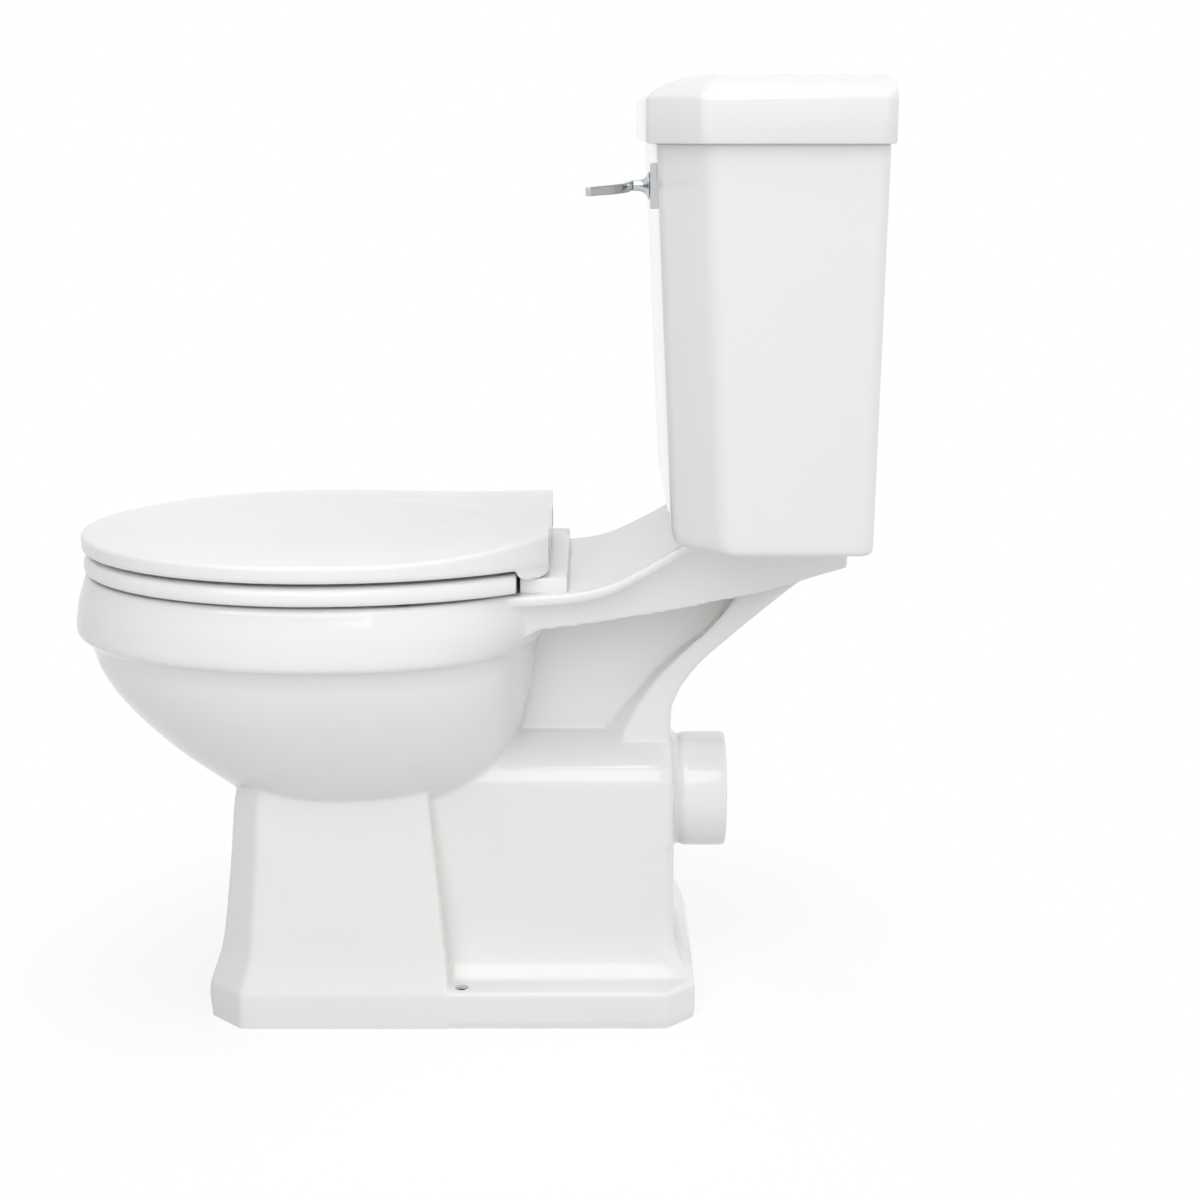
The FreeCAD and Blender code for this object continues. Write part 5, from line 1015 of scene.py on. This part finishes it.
    def spigot(self):
        """The soil spigot with the groove round its root."""
        path = [(0.0, y, SPIGOT_Z) for y, radius in SPIGOT_ROWS]
        return tube("spigot", path, [radius for y, radius in SPIGOT_ROWS], SPIGOT_SIDES)

    def hollows(self):
        """What is cut out of the casting: bowl, trapway, inlet, holes, and the open underside."""
        rings = []
        for height in stations(HOLLOW_SPANS):
            z, front, half_width, rear, widest = along(HOLLOW_ROWS[::-1], height)
            rings.append(egg(front, rear, half_width, z, widest))
        path = curve(TRAP_PATH, steps=6)
        below = []
        for z, inset in UNDERSIDE_ROWS:
            below.append(cornered(FOOT_HIGH.x, FOOT_LOW.y, FOOT_HIGH.y, PLINTH_CUTS, z, PLINTH_CORNER, inset))
        reach, depth = GROUND
        plugs = [loft("bowl hollow", rings),
                 tube("trapway", [(0.0, y, z) for y, z in path], [TRAP_BORE] * len(path)),
                 bore("soil way", 0.0, SPIGOT_Z, SPIGOT_BORE, SOIL_WAY_START_Y, SPIGOT_HIGH.y + CLEAR,
                      SPIGOT_SIDES),
                 peg("inlet", *INLET, SHELF_TOP_Z + CLEAR),
                 loft("open underside", below),
                 brick("ground", reach, -reach, reach, -depth, 0.0)]
        for side in SIDES:
            for name, (x, y, radius, z0, z1) in SIDE_HOLES.items():
                plugs.append(peg(name, side * x, y, radius, z0, z1))
        return plugs


class TOILET_OT_cistern(bpy.types.Operator):
    """Makes the cistern's tank and its cover"""

    bl_idname = "toilet.make_cistern"
    bl_label = "Cistern"

    def execute(self, context):
        form = context.scene.toilet_form
        finished(self.tank(form), "base", finish_for("china"), ["cistern_tank"])
        finished(self.cover(form), "cover", finish_for("china"), ["cistern_lid"])
        return {"FINISHED"}

    def tank_ring(self, z, inset, form, front_inset=None):
        """The tank's outline at a height, drawn in by an inset."""
        share = (z - TANK_LOW.z) / (TANK_HIGH.z - TANK_LOW.z)
        half_width, front, back = [low + share * (high - low) for low, high in zip(TANK_BOTTOM, TANK_TOP)]
        return cornered(half_width, front, back, TANK_CUTS, z, form.tank_corner / MM, inset,
                        front_inset=front_inset)

    def tank(self, form):
        """The tank, open at its top, with the holes for its fittings."""
        top = TANK_HIGH.z
        floor = TANK_LOW.z + TANK_FLOOR
        rings = []
        for rise, inset, front_inset in TANK_FOOT_ROWS:
            rings.append(self.tank_ring(TANK_LOW.z + rise, inset, form, front_inset))
        for z, inset in ((top - TANK_LIP, 0.0), (top, TANK_LIP), (top, TANK_WALL - TANK_LIP),
                         (top - TANK_LIP, TANK_WALL)):
            rings.append(self.tank_ring(z, inset, form))
        for rise, inset in TANK_INSIDE_ROWS:
            rings.append(self.tank_ring(floor + rise, TANK_WALL + inset, form))
        tank = loft("tank_china", rings)
        through = (TANK_LOW.z - LONG_CLEAR, floor + LONG_CLEAR)
        plugs = [peg("siphon hole", INLET[0], INLET[1], SIPHON_HOLE, *through),
                 peg("valve hole", VALVE_X, INLET[1], VALVE_HOLE, *through),
                 bore("lever hole", LEVER_X, LEVER_Z, *LEVER_HOLE)]
        x, y, radius = COUPLING_BOLT
        for side in SIDES:
            plugs.append(peg("coupling hole", side * x, y, radius, *through))
            plugs.append(bore("wall screw hole", side * WALL_SCREW[0], WALL_SCREW[1], *WALL_SCREW_HOLE))
        return cut_away(tank, plugs)

    def cover(self, form):
        """The lift-off cover: an upright edge, a hipped top and the ridge that drops into the tank."""
        foot = COVER_LOW.z + COVER_RIDGE_DROP
        inner = COVER_RIDGE_GAP + COVER_RIDGE_WALL
        rings = []
        for z, inset in ((foot + COVER_ROOF, inner), (COVER_LOW.z, inner), (COVER_LOW.z, COVER_RIDGE_GAP),
                         (foot, COVER_RIDGE_GAP)):
            rings.append(cornered(TANK_HIGH.x, TANK_LOW.y, TANK_HIGH.y, TANK_CUTS, z, COVER_RIDGE_CORNER,
                                  inset))
        for rise, inset, back_inset in COVER_ROWS:
            rings.append(cornered(COVER_HIGH.x, COVER_LOW.y, COVER_HIGH.y, COVER_CUTS, foot + rise,
                                  form.cover_corner / MM, inset, back_inset))
        return loft("cover_china", rings)


class TOILET_OT_seat(bpy.types.Operator):
    """Moulds the seat's ring and lid, and rounds its hinge plate"""

    bl_idname = "toilet.make_seat"
    bl_label = "Seat"

    def execute(self, context):
        form = context.scene.toilet_form
        resin = finish_for("seat_resin")
        finished(self.lid(form), "seat_lid", resin, ["seat_lid"])
        finished(self.ring(form), "seat_ring", resin, ["seat_ring"])
        finished(self.hinge(form), "base", resin, ["hinge_plate"])
        return {"FINISHED"}

    def outline(self, inset, z):
        """The lid's outline at a height, drawn in by an inset."""
        return egg(SEAT_LID_LOW.y + inset, SEAT_REAR_Y - inset, SEAT_LID_HIGH.x - inset, z)

    def lid(self, form):
        """The lid: rounded edges, a low crown, and a thick heel over the hinge."""
        bottom = RING_LOW.z + LID_LIFT
        reach, crown, power = LID_CROWN
        edge, edge_rise = LID_ROWS[-1][:2]
        rows = list(LID_ROWS)
        for share in between(0.0, 1.0, 24)[1:]:
            rows.append((edge + share * (reach - edge), edge_rise + crown * (1 - (1 - share) ** power), 1.0))
        rings = []
        for inset, rise, share in rows:
            ring = []
            for x, y, z in self.outline(inset, bottom + rise):
                run = max(y - LID_RISE_START_Y, 0.0) / (SEAT_LID_HIGH.y - LID_RISE_START_Y)
                ring.append((x, y, z + share * LID_REAR_RISE * run ** LID_RISE_POWER))
            rings.append(ring)
        plate = loft("lid plate", rings)
        heel = slab("heel", HEEL_PROFILE, -HEEL_HALF_WIDTH, HEEL_HALF_WIDTH)
        cut_away(heel, [loft("plan", [self.outline(HEEL_INSET, z) for z in HEEL_Z])], "INTERSECT")
        lid = cast([plate, heel], "seat_lid_resin", form.seat_grain, form.seat_softening)
        plugs = [self.behind(SEAT_LID_HIGH.y)]
        for side in SIDES:
            plugs.append(hinge_rod("hinge notch", side * NOTCH_X[0], side * NOTCH_X[1], NOTCH_RADIUS))
        return cut_away(lid, plugs)

    def hinge(self, form):
        """The hinge plate, closed over its bolt heads, with the two posts that hold the pins."""
        front, back = HINGE_LOW.y, HINGE_HIGH.y
        rise, rounding = HINGE_PLATE
        top = HINGE_LOW.z + rise
        corner = [(rounding * (1 - math.sin(turn)), rounding * (1 - math.cos(turn)))
                  for turn in between(0.0, math.pi / 2, 5)]
        profile = [(front, HINGE_LOW.z), (back, HINGE_LOW.z)]
        profile += [(back - across, top - down) for down, across in corner]
        profile += [(front + across, top - down) for down, across in reversed(corner)]
        plate = slab("hinge_plate_resin", profile, HINGE_LOW.x, HINGE_HIGH.x, form.hinge_edge / MM)
        x0, x1, radius = HINGE_POST
        arch = [(HINGE_Y - radius, top - rise / 2), (HINGE_Y + radius, top - rise / 2)]
        arch += [(HINGE_Y + radius * math.cos(turn), HINGE_Z + radius * math.sin(turn))
                 for turn in between(0.0, math.pi, 24)]
        for side in SIDES:
            low, high = sorted((side * x0, side * x1))
            cut_away(plate, [slab("post", arch, low, high, form.hinge_edge / MM)], "UNION")
            cut_away(plate, [hinge_rod("pin bore", low - CLEAR, high + CLEAR, PIN_BORE)])
        return plate

    def behind(self, y):
        """A block that cuts off what is behind a line."""
        half_width, run, z0, z1 = SEAT_TRIM
        return brick("behind", half_width, y, y + run, z0, z1)

    def ring(self, form):
        """The ring with its rounded section, and the knuckle arms that reach back to the hinge."""
        bottom = RING_LOW.z
        outer = egg(RING_LOW.y, SEAT_REAR_Y, RING_HIGH.x, 0.0)
        inner = egg(*RING_OPENING, 0.0)
        rows = [(inset, rise, outer, inner) for inset, rise in RING_OUTER_ROWS]
        rows += [(inset, rise, inner, outer) for inset, rise in RING_INNER_ROWS]
        rings = []
        for inset, rise, near, far in rows:
            ring = []
            for here, there in zip(near, far):
                start = Vector(here)
                point = start + (Vector(there) - start).normalized() * inset
                ring.append((point.x, point.y, bottom + rise))
            rings.append(ring)
        plate = cut_away(loft("ring plate", rings, closed=True), [self.behind(RING_BACK_Y)])
        pieces = [plate]
        for side in SIDES:
            x0, x1 = sorted(side * x for x in KNUCKLE_X)
            pieces.append(slab("knuckle arm", KNUCKLE_ARM, x0, x1, KNUCKLE_EDGE))
            pieces.append(hinge_rod("knuckle", x0, x1, KNUCKLE_RADIUS))
        ring = cast(pieces, "seat_ring_resin", form.seat_grain, form.seat_softening)
        start, end = KNUCKLE_X[0] - LONG_CLEAR, KNUCKLE_X[1] + LONG_CLEAR
        return cut_away(ring, [hinge_rod("pin bore", side * start, side * end, PIN_BORE) for side in SIDES])


class TOILET_OT_lever(bpy.types.Operator):
    """Makes the flush lever and its face plate"""

    bl_idname = "toilet.make_lever"
    bl_label = "Lever"

    def execute(self, context):
        form = context.scene.toilet_form
        lever = cast([self.neck(), self.blade()], "lever_chrome", form.lever_grain, form.lever_softening)
        finished(lever, "lever", finish_for("chrome"), ["flush_lever"])
        dress_node("lever_escutcheon", 2 * form.small_edge)
        return {"FINISHED"}

    def neck(self):
        """The spindle through the tank's wall, and the flared neck in front of the face plate."""
        path = [(LEVER_X, LEVER_BACK_Y, LEVER_Z)]
        radii = [NECK_ROWS[0][1]]
        for reach, radius in NECK_ROWS:
            path.append((LEVER_X, PLATE_LOW.y - reach, LEVER_Z))
            radii.append(radius)
        return tube("neck", path, radii, sides=40)

    def blade(self):
        """The curved blade, with a small cap on each end."""
        half_thickness, half_height, loss = LEVER_BLADE
        path = []
        radii = []
        arm = curve([(LEVER_X + out, PLATE_LOW.y - reach) for out, reach in LEVER_ARM], steps=5)
        for place, (x, y) in enumerate(arm):
            share = place / (len(arm) - 1)
            path.append((x, y, LEVER_Z - LEVER_FALL * share))
            radii.append((half_thickness, half_height - loss * share))
        cap, smaller = LEVER_CAP
        for end, inward in ((0, 1), (-1, -1)):
            tip = Vector(path[end])
            outwards = (tip - Vector(path[end + inward])).normalized()
            place = 0 if end == 0 else len(path)
            path.insert(place, tuple(tip + outwards * cap))
            radii.insert(place, (half_thickness - smaller, radii[end][1] - smaller))
        return tube("blade", path, radii, bluntness=LEVER_BLUNTNESS)


class TOILET_OT_fittings(bpy.types.Operator):
    """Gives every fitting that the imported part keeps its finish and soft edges"""

    bl_idname = "toilet.dress_fittings"
    bl_label = "Fittings"

    def execute(self, context):
        form = context.scene.toilet_form
        for name, node in frame["nodes"].items():
            if not node.hide_render and not node.modifiers:
                dress_node(name, form.small_edge)
        return {"FINISHED"}


def slot_of(node):
    """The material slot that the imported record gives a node."""
    for part in frame["record"]["subparts"]:
        if part["node"] == node:
            return part["material_slot"]
    raise RuntimeError("the record has no material for " + node)


def dress_node(name, edge):
    """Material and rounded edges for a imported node, whose own mesh stays as it is."""
    node = frame["nodes"][name]
    node.data.materials.clear()
    node.data.materials.append(finish_for(slot_of(name)))
    weld = node.modifiers.new("weld", "WELD")
    weld.merge_threshold = WELD_GAP
    flat = node.modifiers.new("flat faces", "DECIMATE")
    flat.decimate_type = "DISSOLVE"
    flat.angle_limit = math.radians(FLAT_ANGLE)
    bevel = node.modifiers.new("rounded edges", "BEVEL")
    bevel.width = edge
    bevel.segments = 3
    bevel.limit_method = "ANGLE"
    bevel.angle_limit = math.radians(EDGE_ANGLE)
    shade = node.modifiers.new("even shading", "WEIGHTED_NORMAL")
    shade.keep_sharp = False


class TOILET_PT_panel(bpy.types.Panel):
    """Lists the steps that dress the toilet, and their settings"""

    bl_idname = "TOILET_PT_panel"
    bl_label = "Toilet"
    bl_space_type = "VIEW_3D"
    bl_region_type = "UI"
    bl_category = "Toilet"

    def draw(self, context):
        for operator in OPERATORS:
            self.layout.operator(operator.bl_idname)
        for group in (context.scene.toilet_finish, context.scene.toilet_form, context.scene.toilet_stage):
            for name in group.bl_rna.properties.keys():
                if name not in ("rna_type", "name"):
                    self.layout.prop(group, name)


OPERATORS = (TOILET_OT_stage, TOILET_OT_pan, TOILET_OT_cistern, TOILET_OT_seat, TOILET_OT_lever,
             TOILET_OT_fittings)
GROUPS = {"toilet_finish": ToiletFinish, "toilet_form": ToiletForm, "toilet_stage": ToiletStage}


def register():
    """Adds the settings, the steps and the panel."""
    for name, group in GROUPS.items():
        bpy.utils.register_class(group)
        setattr(bpy.types.Scene, name, bpy.props.PointerProperty(type=group))
    for kind in OPERATORS + (TOILET_PT_panel,):
        bpy.utils.register_class(kind)


def unregister():
    """Takes them away again."""
    for kind in reversed(OPERATORS + (TOILET_PT_panel,)):
        bpy.utils.unregister_class(kind)
    for name, group in GROUPS.items():
        delattr(bpy.types.Scene, name)
        bpy.utils.unregister_class(group)


def main():
    """Runs every step."""
    register()
    bpy.ops.toilet.make_stage()
    bpy.ops.toilet.make_pan()
    bpy.ops.toilet.make_cistern()
    bpy.ops.toilet.make_seat()
    bpy.ops.toilet.make_lever()
    bpy.ops.toilet.dress_fittings()


if __name__ == "__main__":
    main()
